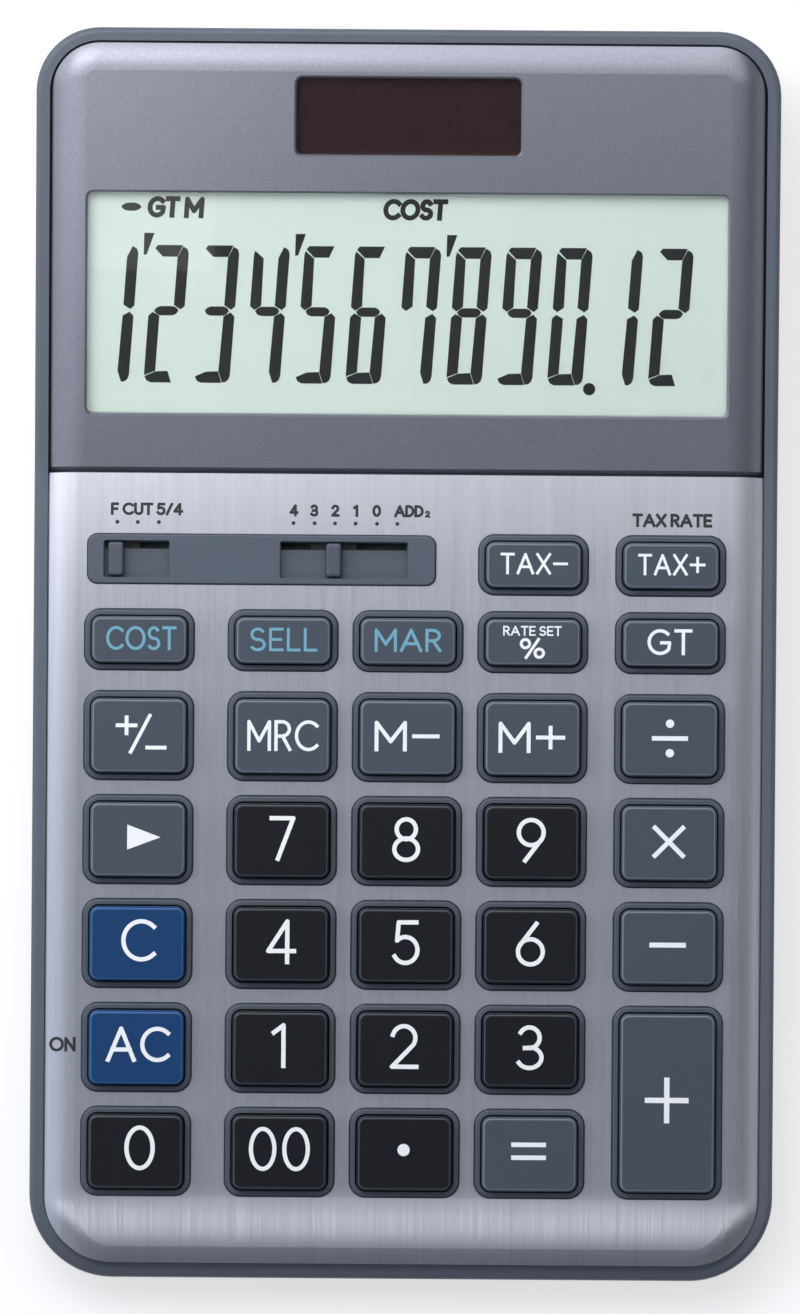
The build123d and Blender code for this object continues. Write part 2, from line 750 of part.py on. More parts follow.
# Sliders: a knob on a stem through the slit, on a carrier that holds the wiper spring
knob_bottom = slot_floor - slider_clearance
for name, (first, stops, rest) in switches.items():
    x = first + switch_pitch * rest
    with BuildPart() as slider:
        with BuildSketch(keypad_plane.offset(-knob_bottom)):
            with Locations((x, bezel_y)):
                RectangleRounded(knob_width, knob_length, knob_corner_radius)
        extrude(amount=knob_bottom + knob_height)
        fillet(slider.faces().sort_by(keypad_up)[-1].edges(), knob_edge_radius)
        with BuildSketch(keypad_plane.offset(-carrier_top)):
            with Locations((x, slit_y)):
                Rectangle(stem_length, stem_width)
        extrude(amount=carrier_top - knob_bottom)
        with BuildSketch(keypad_plane.offset(-carrier_bottom)):
            with Locations((x, bezel_y)):
                Rectangle(carrier_width, carrier_length)
        extrude(amount=carrier_thickness)
    finish(slider.part, f"{name}_slider")
    wiper_plane = Plane(
        origin=keypad_plane.from_local_coords((x, bezel_y, 0)),
        x_dir=(1, 0, 0),
        z_dir=(0, -cos(keypad_slope), -sin(keypad_slope)),
    )
    wiper_low = -board_top + wiper_board_gap + wiper_thickness
    wiper_points = [
        (-wiper_reach, wiper_low + wiper_thickness),
        (-wiper_reach * wiper_foot_share, wiper_low),
        (-wiper_reach * wiper_seat_share, -carrier_bottom),
        (wiper_reach * wiper_seat_share, -carrier_bottom),
        (wiper_reach * wiper_foot_share, wiper_low),
        (wiper_reach, wiper_low + wiper_thickness),
    ]
    wiper_under = [(u, w - wiper_thickness) for u, w in reversed(wiper_points)]
    with BuildPart() as wiper:
        with BuildSketch(wiper_plane):
            with BuildLine():
                Polyline(*wiper_points, *wiper_under, close=True)
            make_face()
        extrude(amount=wiper_width / 2, both=True)
    finish(wiper.part, f"{name}_wiper")

# Keys: a hollow cap through its collar, a flange under the deck, and a plunger onto the dome
plunger_bottom = mat_top - dome_height - dome_gap
for name, (x, y, length) in key_seats.items():
    cap_width = collar_width - 2 * (collar_side_band + key_clearance)
    cap_length = length - 2 * (collar_end_band + key_clearance)
    with BuildPart() as key:
        with BuildSketch(keypad_plane.offset(-flange_bottom)):
            with Locations((x, y)):
                RectangleRounded(cap_width, cap_length, key_corner_radius)
        extrude(amount=flange_bottom + key_height)
        fillet(key.faces().sort_by(keypad_up)[-1].edges(), key_edge_radius)
        with BuildSketch(keypad_plane.offset(-flange_bottom)):
            with Locations((x, y)):
                Rectangle(cap_width + 2 * key_flange, cap_length + 2 * key_flange)
        extrude(amount=key_flange_thickness)
        with BuildSketch(keypad_plane.offset(-flange_bottom)):
            with Locations((x, y)):
                Rectangle(cap_width - 2 * key_wall, cap_length - 2 * key_wall)
        extrude(amount=flange_bottom + key_height - key_top_thickness, mode=Mode.SUBTRACT)
        with BuildSketch(keypad_plane.offset(-plunger_bottom)):
            with Locations((x, y)):
                Circle(plunger_radius)
        extrude(amount=plunger_bottom + key_height - key_top_thickness)
    finish(key.part, name)

# Rubber mat on the board, with an arm under the two keys beside the switches
dome_inner_radius = dome_base_radius - dome_wall
with BuildPart() as rubber_key_mat:
    with BuildSketch(keypad_plane.offset(-board_top)):
        with Locations((0, -(mat_rear + mat_front) / 2)):
            Rectangle(mat_width, mat_front - mat_rear)
        with Locations((mat_tax_inset, -mat_tax_rear)):
            Rectangle(mat_width / 2 - mat_tax_inset, mat_rear - mat_tax_rear, align=(Align.MIN, Align.MAX))
        with Locations(*board_screw_places):
            Circle(board_post_radius + post_gap, mode=Mode.SUBTRACT)
        with Locations(*dome_places):
            Circle(dome_inner_radius, mode=Mode.SUBTRACT)
    extrude(amount=mat_thickness)
finish(rubber_key_mat.part, "rubber_key_mat")

# Rubber domes: thin-walled cones on the mat, one under each key
dome_solids = []
for place in dome_places:
    with BuildPart() as dome:
        with BuildSketch(keypad_plane.offset(-mat_top)):
            with Locations(place):
                Circle(dome_base_radius)
        with BuildSketch(keypad_plane.offset(dome_height - mat_top)):
            with Locations(place):
                Circle(dome_top_radius)
        loft()
        with BuildSketch(keypad_plane.offset(-mat_top)):
            with Locations(place):
                Circle(dome_inner_radius)
        with BuildSketch(keypad_plane.offset(dome_height - dome_wall - mat_top)):
            with Locations(place):
                Circle(dome_top_radius - dome_wall)
        loft(mode=Mode.SUBTRACT)
    dome_solids.append(dome.part)
finish(Compound(children=dome_solids), "rubber_domes")

# Main board, hung on posts under the deck
with BuildPart() as main_board:
    with BuildSketch(keypad_plane.offset(-board_bottom)):
        with Locations((0, -(board_rear + board_front) / 2)):
            Rectangle(board_width, board_front - board_rear)
        with Locations(*board_screw_places):
            Circle(board_shank_radius + screw_clearance, mode=Mode.SUBTRACT)
    extrude(amount=board_thickness)
finish(main_board.part, "main_board")

with BuildPart() as controller_chip:
    with BuildSketch(keypad_plane.offset(-board_bottom)):
        with Locations((0, -chip_place)):
            Circle(chip_radius)
    extrude(amount=-chip_height)
    fillet(controller_chip.faces().sort_by(keypad_up)[0].edges(), chip_edge_radius)
finish(controller_chip.part, "controller_chip")

board_screw_solids = []
for x, y in board_screw_places:
    seat = Plane(keypad_plane.from_local_coords((x, y, -board_bottom)), x_dir=(1, 0, 0), z_dir=keypad_plane.z_dir)
    board_screw_solids.append(
        screw(seat, board_head_radius, board_head_height, board_shank_radius, board_shank_length)
    )
finish(Compound(children=board_screw_solids), "board_screws")

case_screw_solids = []
for x, y in case_screw_places:
    seat = Plane(origin=(x, y, parting_height(y) - case_seat_thickness), z_dir=(0, 0, 1))
    case_screw_solids.append(
        screw(seat, case_head_radius, case_head_height, case_shank_radius, case_shank_length)
    )
finish(Compound(children=case_screw_solids), "case_screws")

# Battery bay levels and places
well_x = bay_x - well_shift
cell_bottom = floor_top + cell_gap
well_top = cell_bottom + cell_height + cell_gap + contact_thickness
bay_top = well_top + bay_ceiling
tab_top = bay_top + tab_height
bay_width = cover_width + 2 * bay_wall
bay_length = cover_length + 2 * bay_wall
bay_front = bay_y - bay_length / 2
minus_x = well_x - contact_shift
plus_y = bay_y + cell_radius + contact_clearance

# Bottom case: the space inside the tray, round its bosses, ribs and battery bay
with BuildPart() as bottom_cavity:
    with BuildSketch(Plane.XY.offset(floor_top)):
        add(inner_outline)
        with Locations(*case_screw_places):
            Circle(case_boss_radius, mode=Mode.SUBTRACT)
    extrude(amount=overrun)
    with BuildSketch(Plane.XY.offset(floor_top)):
        with Locations((bay_x, bay_y)):
            Rectangle(bay_width, bay_length)
    extrude(amount=bay_top - floor_top, mode=Mode.SUBTRACT)
    with BuildSketch(keypad_plane.offset(-board_bottom - rib_gap)):
        with Locations((-rib_x, -rib_place), (rib_x, -rib_place)):
            Rectangle(rib_thickness, rib_length)
    extrude(amount=-overrun, mode=Mode.SUBTRACT)

# Bottom case, whole
tray_lip = case_band(wall - lip_thickness, wall, parting_depth, parting_depth - lip_height)
foot_places = [(x, y) for x in (-foot_x, foot_x) for y in (foot_front, foot_rear)]
with BuildPart() as bottom_case:
    with BuildSketch(Plane.XY.offset(foot_stand)):
        add(full_outline)
    extrude(amount=overrun)
    split(bisect_by=parting_plane, keep=Keep.BOTTOM)
    chamfer(bottom_case.faces().sort_by(keypad_up)[-1].edges(), parting_chamfer)
    fillet(bottom_case.faces().sort_by(Axis.Z)[0].edges(), base_edge_radius)
    add(bottom_cavity.part, mode=Mode.SUBTRACT)
    add(tray_lip)
    # Feet and the bare label field
    with BuildSketch(Plane.XY.offset(foot_stand)):
        with Locations(*foot_places):
            Circle(foot_radius + foot_clearance)
    extrude(amount=foot_sink, mode=Mode.SUBTRACT)
    with BuildSketch(Plane.XY.offset(foot_stand)):
        with Locations((label_x, bay_y)):
            RectangleRounded(label_width, label_length, label_corner_radius)
    extrude(amount=label_depth, mode=Mode.SUBTRACT)
    # Counterbored holes for the case screws
    for x, y in case_screw_places:
        seat_height = parting_height(y) - case_seat_thickness
        with BuildSketch():
            with Locations((x, y)):
                Circle(case_head_radius + screw_clearance)
        extrude(amount=seat_height, mode=Mode.SUBTRACT)
        with BuildSketch():
            with Locations((x, y)):
                Circle(case_shank_radius + screw_clearance)
        extrude(amount=overrun, mode=Mode.SUBTRACT)
    # Battery bay: recess for the cover, well for the cell, slots for the contacts, pilot for the screw
    with BuildSketch(Plane.XY.offset(foot_stand)):
        with Locations((bay_x, bay_y)):
            RectangleRounded(
                cover_width + 2 * cover_clearance, cover_length + 2 * cover_clearance, cover_corner_radius
            )
    extrude(amount=floor_thickness, mode=Mode.SUBTRACT)
    with BuildSketch(Plane.XY.offset(floor_top)):
        with Locations((well_x, bay_y)):
            Circle(cell_radius + cell_clearance)
    extrude(amount=well_top - floor_top, mode=Mode.SUBTRACT)
    with BuildSketch(Plane.XY.offset(well_top - contact_thickness - contact_clearance)):
        with Locations((minus_x, bay_y)):
            Rectangle(contact_width + 2 * contact_clearance, bay_length, align=(Align.CENTER, Align.MAX))
    extrude(amount=contact_thickness + contact_clearance, mode=Mode.SUBTRACT)
    with BuildSketch(Plane.XY.offset(floor_top)):
        with Locations((well_x, plus_y - contact_clearance)):
            Rectangle(
                contact_width + 2 * contact_clearance,
                contact_thickness + 2 * contact_clearance,
                align=(Align.CENTER, Align.MIN),
            )
    extrude(amount=bay_top - floor_top, mode=Mode.SUBTRACT)
    with BuildSketch(Plane.XY.offset(floor_top)):
        with Locations((bay_x + cover_screw_shift, bay_y)):
            Circle(cover_shank_radius + screw_clearance)
    extrude(amount=cover_shank_length, mode=Mode.SUBTRACT)
finish(bottom_case.part, "bottom_case")

# Battery cover, flush with the underside
cover_seat = foot_stand + cover_head_height + screw_clearance
with BuildPart() as battery_cover:
    with BuildSketch(Plane.XY.offset(foot_stand)):
        with Locations((bay_x, bay_y)):
            RectangleRounded(cover_width, cover_length, cover_corner_radius)
    extrude(amount=floor_thickness)
    with BuildSketch(Plane.XY.offset(foot_stand)):
        with Locations((bay_x + cover_screw_shift, bay_y)):
            Circle(cover_head_radius + screw_clearance)
    extrude(amount=cover_seat - foot_stand, mode=Mode.SUBTRACT)
    with BuildSketch(Plane.XY.offset(foot_stand)):
        with Locations((bay_x + cover_screw_shift, bay_y)):
            Circle(cover_shank_radius + screw_clearance)
    extrude(amount=floor_thickness, mode=Mode.SUBTRACT)
    with BuildSketch(Plane.XY.offset(foot_stand)):
        with Locations((well_x, bay_y)):
            with GridLocations(grip_pitch, 0, grip_count, 1):
                Rectangle(grip_groove, cell_radius * 2)
    extrude(amount=grip_groove, mode=Mode.SUBTRACT)
finish(battery_cover.part, "battery_cover")

cover_screw_seat = Plane(origin=(bay_x + cover_screw_shift, bay_y, cover_seat), z_dir=(0, 0, 1))
finish(
    screw(cover_screw_seat, cover_head_radius, cover_head_height, cover_shank_radius, cover_shank_length),
    "battery_cover_screw",
)

with BuildPart() as button_cell:
    with BuildSketch(Plane.XY.offset(cell_bottom)):
        with Locations((well_x, bay_y)):
            Circle(cell_radius)
    extrude(amount=cell_height)
    fillet(button_cell.faces().sort_by(Axis.Z)[-1].edges(), cell_edge_radius)
finish(button_cell.part, "button_cell")

# Contacts: a strip over the cell, bent up in front of the bay, and a blade beside the cell
with BuildPart() as minus_contact:
    tab_y = bay_front - contact_clearance - contact_thickness
    with BuildSketch(Plane.XY.offset(well_top - contact_thickness)):
        with Locations((minus_x, tab_y)):
            Rectangle(contact_width, bay_y - tab_y, align=(Align.CENTER, Align.MIN))
    extrude(amount=contact_thickness)
    with BuildSketch(Plane.XY.offset(well_top - contact_thickness)):
        with Locations((minus_x, tab_y)):
            Rectangle(contact_width, contact_thickness, align=(Align.CENTER, Align.MIN))
    extrude(amount=tab_top - well_top + contact_thickness)
with BuildPart() as plus_contact:
    with BuildSketch(Plane.XY.offset(cell_bottom)):
        with Locations((well_x, plus_y)):
            Rectangle(contact_width, contact_thickness, align=(Align.CENTER, Align.MIN))
    extrude(amount=tab_top - cell_bottom)
finish(Compound(children=[minus_contact.part, plus_contact.part]), "battery_contacts")


def wire(start, landing_x, turn_y=None):
    """A wire from its terminal to the level under the display, forward, and down onto the board."""
    edge_y, _ = keypad_point(board_rear, board_top)
    landing_y, landing_z = keypad_point(wire_landing, board_top)
    hop_z = landing_z + wire_hop
    points = [start, (start[0], start[1], wire_level)]
    if turn_y:
        points.append((landing_x, turn_y, wire_level))
    points += [
        (landing_x, edge_y + 2 * wire_hop, wire_level),
        (landing_x, edge_y + wire_hop / 2, hop_z),
        (landing_x, landing_y, hop_z),
        (landing_x, landing_y, landing_z + wire_end_gap),
    ]
    radii = [wire_bend] * (len(points) - 3) + [wire_end_bend]
    with BuildPart() as lead:
        with BuildLine() as route:
            FilletPolyline(*points, radius=radii)
        with BuildSketch(Plane(origin=route.line @ 0, z_dir=route.line % 0)):
            Circle(wire_radius)
        sweep()
    return lead.part


solar_y, solar_z = display_point(solar_window_place, glass_top + solar_cell_thickness + wire_end_gap)
tab_middle = contact_thickness / 2
wires = [
    wire((minus_x, tab_y + tab_middle, tab_top + wire_end_gap), minus_x),
    wire((well_x, plus_y + tab_middle, tab_top + wire_end_gap), well_x),
    wire((-solar_wire_x, solar_y, solar_z), solar_landing_x - wire_pitch, bay_y + wire_pitch),
    wire((solar_wire_x, solar_y, solar_z), solar_landing_x, bay_y - wire_pitch),
]
finish(Compound(children=wires), "power_leads")

# Rubber feet, sunk into the tray
with BuildPart() as rubber_feet:
    with BuildSketch():
        with Locations(*foot_places):
            Circle(foot_radius)
    extrude(amount=foot_stand + foot_sink)
    fillet(rubber_feet.faces().group_by(Axis.Z)[0].edges(), foot_edge_radius)
finish(rubber_feet.part, "rubber_feet")
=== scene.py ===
# %% [markdown]
# # Dressing a desktop calculator
# The calculator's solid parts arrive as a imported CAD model: case, plate, panel, keys, switches
# and all that is inside. They already have the right shape and place, so this script doesn't
# model them again. It adds the things that a CAD model leaves out, which are finishes, printed
# legends and the figures in the display, and then the light and the camera that show them.

# %% Load the frame
import json
import bpy
import numpy as np
from mathutils import Matrix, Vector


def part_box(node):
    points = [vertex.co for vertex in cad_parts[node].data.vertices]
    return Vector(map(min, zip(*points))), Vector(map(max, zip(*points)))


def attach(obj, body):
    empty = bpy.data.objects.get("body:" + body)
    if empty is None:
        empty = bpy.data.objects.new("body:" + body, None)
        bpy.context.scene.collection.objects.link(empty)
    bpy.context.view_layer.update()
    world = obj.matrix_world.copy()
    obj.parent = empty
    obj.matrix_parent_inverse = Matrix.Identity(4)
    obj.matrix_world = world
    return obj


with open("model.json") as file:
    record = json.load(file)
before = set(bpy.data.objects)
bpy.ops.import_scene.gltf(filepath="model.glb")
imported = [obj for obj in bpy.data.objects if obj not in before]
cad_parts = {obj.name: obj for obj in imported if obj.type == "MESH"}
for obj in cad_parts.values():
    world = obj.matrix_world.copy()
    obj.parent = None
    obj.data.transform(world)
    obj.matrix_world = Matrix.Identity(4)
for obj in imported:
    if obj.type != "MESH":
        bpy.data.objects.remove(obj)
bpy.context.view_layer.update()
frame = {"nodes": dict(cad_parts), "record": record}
nodes = frame["nodes"]

# %% [markdown]
# ## Two sloping planes
# Nearly everything on a calculator lies on one of two planes that meet at a seam: the keypad,
# which climbs a little towards the display, and the display panel, which climbs more. Each could
# be built flat and then turned, but an object here must stay unturned with its place in its mesh.
# So a plane is kept as three arrows, and every point is worked out on it as numbers before it
# goes into a mesh.

# %% The planes
mm = 0.001
seam = np.array([0.0, 25.7, 17.5])
keypad_tilt, display_tilt = 3.5, 9.5      # degrees


def plane_axes(tilt_degrees):
    """Rows: the arrow to the right, the arrow up the slope, and the arrow out of the surface."""
    tilt = np.radians(tilt_degrees)
    return np.array([[1, 0, 0], [0, np.cos(tilt), np.sin(tilt)], [0, -np.sin(tilt), np.cos(tilt)]])


keypad = plane_axes(keypad_tilt)
display = plane_axes(display_tilt)


def on_plane(points, axes):
    """Metres: the seam point plus the local right, up and out distances times their arrows."""
    return (seam + np.asarray(points, float) @ axes) * mm


print("keypad faces", keypad[2].round(3), "and the display panel", display[2].round(3))

# %% [markdown]
# ## The camera
# The photograph looks squarely onto the keypad from far away, so its verticals stay parallel. A
# short lens close by would splay the rim and show the keys' sides. A long lens two metres away
# keeps them as they are seen. The object is turned in the picture by less than half a degree, and
# the camera's roll takes that up.

# %% Place the camera
camera_distance = 2.0
view_height = 0.1873      # how much of the object's plane the tall side of the picture covers
camera_roll = np.radians(0.43)
view_centre = on_plane([-0.68, -25.98, 0], keypad)
roll_turn = np.array([
    [np.cos(camera_roll), np.sin(camera_roll), 0],
    [-np.sin(camera_roll), np.cos(camera_roll), 0],
    [0, 0, 1],
])
camera_data = bpy.data.cameras.new("camera")
camera_data.sensor_fit = "VERTICAL"
camera_data.sensor_height = 36
camera_data.lens = camera_data.sensor_height * camera_distance / view_height
camera_data.clip_start = 0.01
camera = bpy.data.objects.new("camera", camera_data)
bpy.context.scene.collection.objects.link(camera)
camera_place = np.eye(4)
camera_place[:3, :3] = (roll_turn @ keypad).T
camera_place[:3, 3] = view_centre + keypad[2] * camera_distance
camera.matrix_world = Matrix(camera_place.tolist())
bpy.context.scene.camera = camera
bpy.context.scene.view_settings.view_transform = "Standard"
print("lens", round(camera_data.lens, 1), "mm")

# %% [markdown]
# ## Small tools for node trees
# Sky, floor and finishes are all trees of nodes, and the same few steps come up in each of them:
# do a sum, measure along an arrow, turn one range of numbers into another and mix two colours.
# Each step is a function here, so that a finish can be read as a few plain lines. Writing every
# node out where it is used would hide what a finish does.

# %% Node tools


def connect(tree, value, socket):
    """Link a socket where the value is another node's output, and otherwise set it."""
    if isinstance(value, bpy.types.NodeSocket):
        tree.links.new(value, socket)
    else:
        socket.default_value = value


def maths(tree, operation, *values):
    """The result of a Math node."""
    node = tree.nodes.new("ShaderNodeMath")
    node.operation = operation
    for socket, value in zip(node.inputs, values):
        connect(tree, value, socket)
    return node.outputs[0]


def coordinates(tree, kind="Object"):
    """The place on the piece, or with Normal the way its surface faces."""
    return tree.nodes.new("ShaderNodeTexCoord").outputs[kind]


def along(tree, vector, arrow):
    """How far a vector reaches along an arrow: their dot product."""
    node = tree.nodes.new("ShaderNodeVectorMath")
    node.operation = "DOT_PRODUCT"
    tree.links.new(vector, node.inputs[0])
    node.inputs[1].default_value = arrow
    return node.outputs["Value"]


def between(tree, factor, low, high, start=0.3, end=0.7):
    """A value that goes from low to high as the factor goes from start to end."""
    node = tree.nodes.new("ShaderNodeMapRange")
    for name, value in zip(("From Min", "From Max", "To Min", "To Max"), (start, end, low, high)):
        node.inputs[name].default_value = value
    tree.links.new(factor, node.inputs["Value"])
    return node.outputs[0]


def mixed(tree, factor, first, second):
    """A colour between two: a Mix node keeps its colours in inputs 6 and 7 and in output 2."""
    node = tree.nodes.new("ShaderNodeMix")
    node.data_type = "RGBA"
    connect(tree, factor, node.inputs[0])
    connect(tree, first, node.inputs[6])
    connect(tree, second, node.inputs[7])
    return node.outputs[2]


print("six node tools")

# %% [markdown]
# ## Stage and light
# The camera looks squarely onto the keypad, so every flat part mirrors what hangs above it, and
# metal shows little else. The lamps are therefore placed by what mirrors them. A wide box over
# the display end brightens the plate near its seam, and the plate falls off to grey at its front,
# where it mirrors only the dim sky. A strip is mirrored where the plate bends down. A low, narrow
# box makes the display panel lighter on its left, a bright one makes the highlight at its rear
# corner, and the boxes at the left, the rear and the right light the rolled edges. The sky is
# bluer than the lamps, and brighter towards the left and the rear than elsewhere. Lamps strong
# enough to whiten the floor would wash out the object, so the floor has a glow of its own.

# %% Sky and floor
sky_colour = (0.83, 0.91, 1.08, 1)
sky_bright_side = (-0.87, 0.49, 0)        # towards the left and the rear
sky_dim, sky_bright = 0.13, 0.9
floor_half = 1.6
floor_lit, floor_seen = (0.45, 0.45, 0.46, 1), (0.40, 0.40, 0.40, 1)
floor_glow = 0.62


def seen_or_mirrored(tree):
    """1 for a ray from the camera, a mirror or a clear piece, 0 for one that only carries light."""
    rays = tree.nodes.new("ShaderNodeLightPath")
    total = rays.outputs["Is Camera Ray"]
    for ray in ("Is Glossy Ray", "Is Transmission Ray"):
        total = maths(tree, "ADD", total, rays.outputs[ray])
        total.node.use_clamp = True
    return total


world = bpy.data.worlds.new("studio")
bpy.context.scene.world = world
world.use_nodes = True
sky_tree = world.node_tree
sky = sky_tree.nodes["Background"]
sky.inputs["Color"].default_value = sky_colour
sky_lean = along(sky_tree, coordinates(sky_tree, "Generated"), sky_bright_side)
sky_strength = between(sky_tree, sky_lean, sky_dim, sky_bright, -0.3, 0.9)
connect(sky_tree, sky_strength, sky.inputs["Strength"])

floor_mesh = bpy.data.meshes.new("floor")
floor_corners = np.array([[-1, -1, 0], [1, -1, 0], [1, 1, 0], [-1, 1, 0]]) * floor_half
floor_mesh.from_pydata(floor_corners.tolist(), [], [(0, 1, 2, 3)])
floor = bpy.data.objects.new("floor", floor_mesh)
bpy.context.scene.collection.objects.link(floor)
floor_paint = bpy.data.materials.new("floor_paint")
floor_paint.use_nodes = True
floor_tree = floor_paint.node_tree
floor_shader = floor_tree.nodes["Principled BSDF"]
seen = seen_or_mirrored(floor_tree)
floor_sockets = {
    "Base Color": mixed(floor_tree, seen, floor_lit, floor_seen),
    "Roughness": 0.9,
    "Emission Color": (1, 1, 1, 1),
    "Emission Strength": maths(floor_tree, "MULTIPLY", seen, floor_glow),
}
for name, value in floor_sockets.items():
    connect(floor_tree, value, floor_shader.inputs[name])
floor_mesh.materials.append(floor_paint)
print("floor", 2 * floor_half, "m across")

# %% Soft boxes


def soft_box(name, place, target, width, length, radiance):
    """A rectangular lamp that faces its target: its watts are pi times its area times radiance."""
    data = bpy.data.lights.new(name, "AREA")
    data.shape = "RECTANGLE"
    data.size, data.size_y = width, length
    data.energy = np.pi * width * length * radiance
    lamp = bpy.data.objects.new(name, data)
    bpy.context.scene.collection.objects.link(lamp)
    back = np.array(place, float) - target
    back /= np.linalg.norm(back)
    right = np.cross([0, 1, 0], back)
    right /= np.linalg.norm(right)
    matrix = np.eye(4)
    matrix[:3, :3] = np.array([right, np.cross(back, right), back]).T
    matrix[:3, 3] = place
    lamp.matrix_world = Matrix(matrix.tolist())
    lamp.visible_camera = False


soft_box("rear_box", (0, 0.22, 0.40), (0, 0.22, 0), 0.60, 0.40, 1.3)
soft_box("front_strip", (0, -0.238, 0.40), (0, -0.238, 0), 0.90, 0.11, 0.78)
soft_box("panel_box", (-0.17, 0.045, 0.20), (-0.17, 0.045, 0), 0.28, 0.07, 1.0)
soft_box("corner_box", (-0.165, 0.22, 0.39), (-0.165, 0.22, 0), 0.27, 0.20, 3.2)
soft_box("left_box", (-0.52, 0.28, 0.34), (0, 0.04, 0), 0.50, 0.62, 0.95)
soft_box("back_box", (0.05, 0.62, 0.50), (0, 0, 0), 0.60, 0.40, 1.1)
soft_box("right_box", (0.50, 0, 0.20), (0, 0, 0), 0.25, 0.40, 0.45)
print(len(bpy.data.lights), "lamps")

# %% [markdown]
# ## Finishes
# Moulded plastic, paint, rubber and metal differ in three ways that a material can hold: how the
# colour drifts, how sharp the gloss is and how it varies, and how rough the surface is to the
# finger. A picture of each would do it too, but noise on the piece's own coordinates has no
# seams, no file and no scale trouble. The scales are real sizes: a grain of 0.0003 is three
# tenths of a millimetre.

# %% A finish from noise


def srgb(red, green, blue):
    """Linear colour from screen values 0 to 255, by the screen's curve: add 0.055, raise to 2.4."""
    value = np.array([red, green, blue]) / 255
    linear = np.where(value <= 0.04045, value / 12.92, ((value + 0.055) / 1.055) ** 2.4)
    return (*linear.tolist(), 1.0)


def shaded(colour, factor):
    """A colour made lighter or darker."""
    return (*[min(part * factor, 1.0) for part in colour[:3]], 1.0)


def noise(tree, sizes, detail=3.0):
    """Noise whose grains have the given sizes in metres along X, Y and Z of the piece."""
    mapping = tree.nodes.new("ShaderNodeMapping")
    mapping.inputs["Scale"].default_value = [1 / size for size in sizes]
    texture = tree.nodes.new("ShaderNodeTexNoise")
    texture.inputs["Scale"].default_value = 1.0
    texture.inputs["Detail"].default_value = detail
    tree.links.new(coordinates(tree), mapping.inputs["Vector"])
    tree.links.new(mapping.outputs[0], texture.inputs["Vector"])
    return texture.outputs["Fac"]


def relief(tree, height, depth):
    """Bump of a depth in metres, on top of any bump that the shader already has."""
    normal = tree.nodes["Principled BSDF"].inputs["Normal"]
    bump = tree.nodes.new("ShaderNodeBump")
    bump.inputs["Distance"].default_value = depth
    tree.links.new(height, bump.inputs["Height"])
    if normal.links:
        tree.links.new(normal.links[0].from_socket, bump.inputs["Normal"])
    tree.links.new(bump.outputs[0], normal)


def leaning(tree, start, end):
    """0 where the surface faces out of the keypad, 1 where it leans away, between two cosines."""
    lean = along(tree, coordinates(tree, "Normal"), keypad[2].tolist())
    return between(tree, lean, 1.0, 0.0, end, start)


def lay_over(tree, factor, colour):
    """Lay a colour over the finish's own where the factor is 1."""
    base = tree.nodes["Principled BSDF"].inputs["Base Color"]
    tree.links.new(mixed(tree, factor, base.links[0].from_socket, colour), base)


def finish(
    name, colour, roughness, grain, depth, drift=0.12, drift_size=0.012, metallic=0.0, **sockets
):
    """A finish: its colour drifts over drift_size, its gloss and surface vary with the grain.

    Any other socket of the shader is given by its name, with _ for a space."""
    material = bpy.data.materials.new(name)
    material.use_nodes = True
    tree = material.node_tree
    shader = tree.nodes["Principled BSDF"]
    shader.inputs["Metallic"].default_value = metallic
    for socket, value in sockets.items():
        shader.inputs[socket.replace("_", " ")].default_value = value
    cloud = noise(tree, [drift_size] * 3, 4)
    speckle = noise(tree, [grain] * 3, 2)
    tone = mixed(tree, cloud, shaded(colour, 1 - drift), shaded(colour, 1 + drift))
    tree.links.new(tone, shader.inputs["Base Color"])
    gloss = between(tree, speckle, roughness * 0.88, roughness * 1.12)
    tree.links.new(gloss, shader.inputs["Roughness"])
    relief(tree, speckle, depth)
    return material


def dress(material, *names):
    """Give CAD nodes a finish."""
    for name in names:
        nodes[name].data.materials.clear()
        nodes[name].data.materials.append(material)


print("a mid grey of 128 is", round(srgb(128, 128, 128)[0], 3), "in linear light")

# %% [markdown]
# ## Case and switch plastics
# The shell is slate-grey ABS with a satin texture from the mould, which is why its edges catch a
# soft line of light and nothing mirrors in it. The collars round the keys are part of the same
# moulding, and look darker, because they stand between bright metal and dark keys. A little of
# that is colour: the plastic inside the plate's outline is toned down by its own coordinates.
# The flanks of the collars, the bezel and the sliders are painted darker still as shade, and
# the sliders get painted shade where they sit down in their slots.

# %% Case plastic
collar_side, collar_front, collar_rear = 0.0465, -0.0790, 0.0262      # the collars' borders
border_width = 0.0010
case_plastic = finish(
    "case_plastic", srgb(86, 93, 104), 0.42, 0.00035, 0.00002, drift=0.06, Specular_IOR_Level=0.4
)
case_tree = case_plastic.node_tree
case_place = case_tree.nodes.new("ShaderNodeSeparateXYZ")
case_tree.links.new(coordinates(case_tree), case_place.inputs[0])
from_middle = maths(case_tree, "ABSOLUTE", case_place.outputs["X"])
along_case = case_place.outputs["Y"]
collar_mask = between(case_tree, from_middle, 1.0, 0.0, collar_side, collar_side + border_width)
for border in (
    between(case_tree, along_case, 0.0, 1.0, collar_front - border_width, collar_front),
    between(case_tree, along_case, 1.0, 0.0, collar_rear, collar_rear + border_width),
):
    collar_mask = maths(case_tree, "MULTIPLY", collar_mask, border)
# painted shade: the collars' steep flanks are made dark, as shade between plate and keys
flank_shade = leaning(case_tree, 0.92, 0.60)
lay_over(case_tree, collar_mask, mixed(case_tree, flank_shade, srgb(74, 83, 96), srgb(36, 42, 51)))
dress(case_plastic, "top_case")

underside_plastic = finish("underside_plastic", srgb(84, 92, 104), 0.5, 0.0005, 0.00005, drift=0.06)
dress(underside_plastic, "bottom_case", "battery_cover")
print("case dressed")

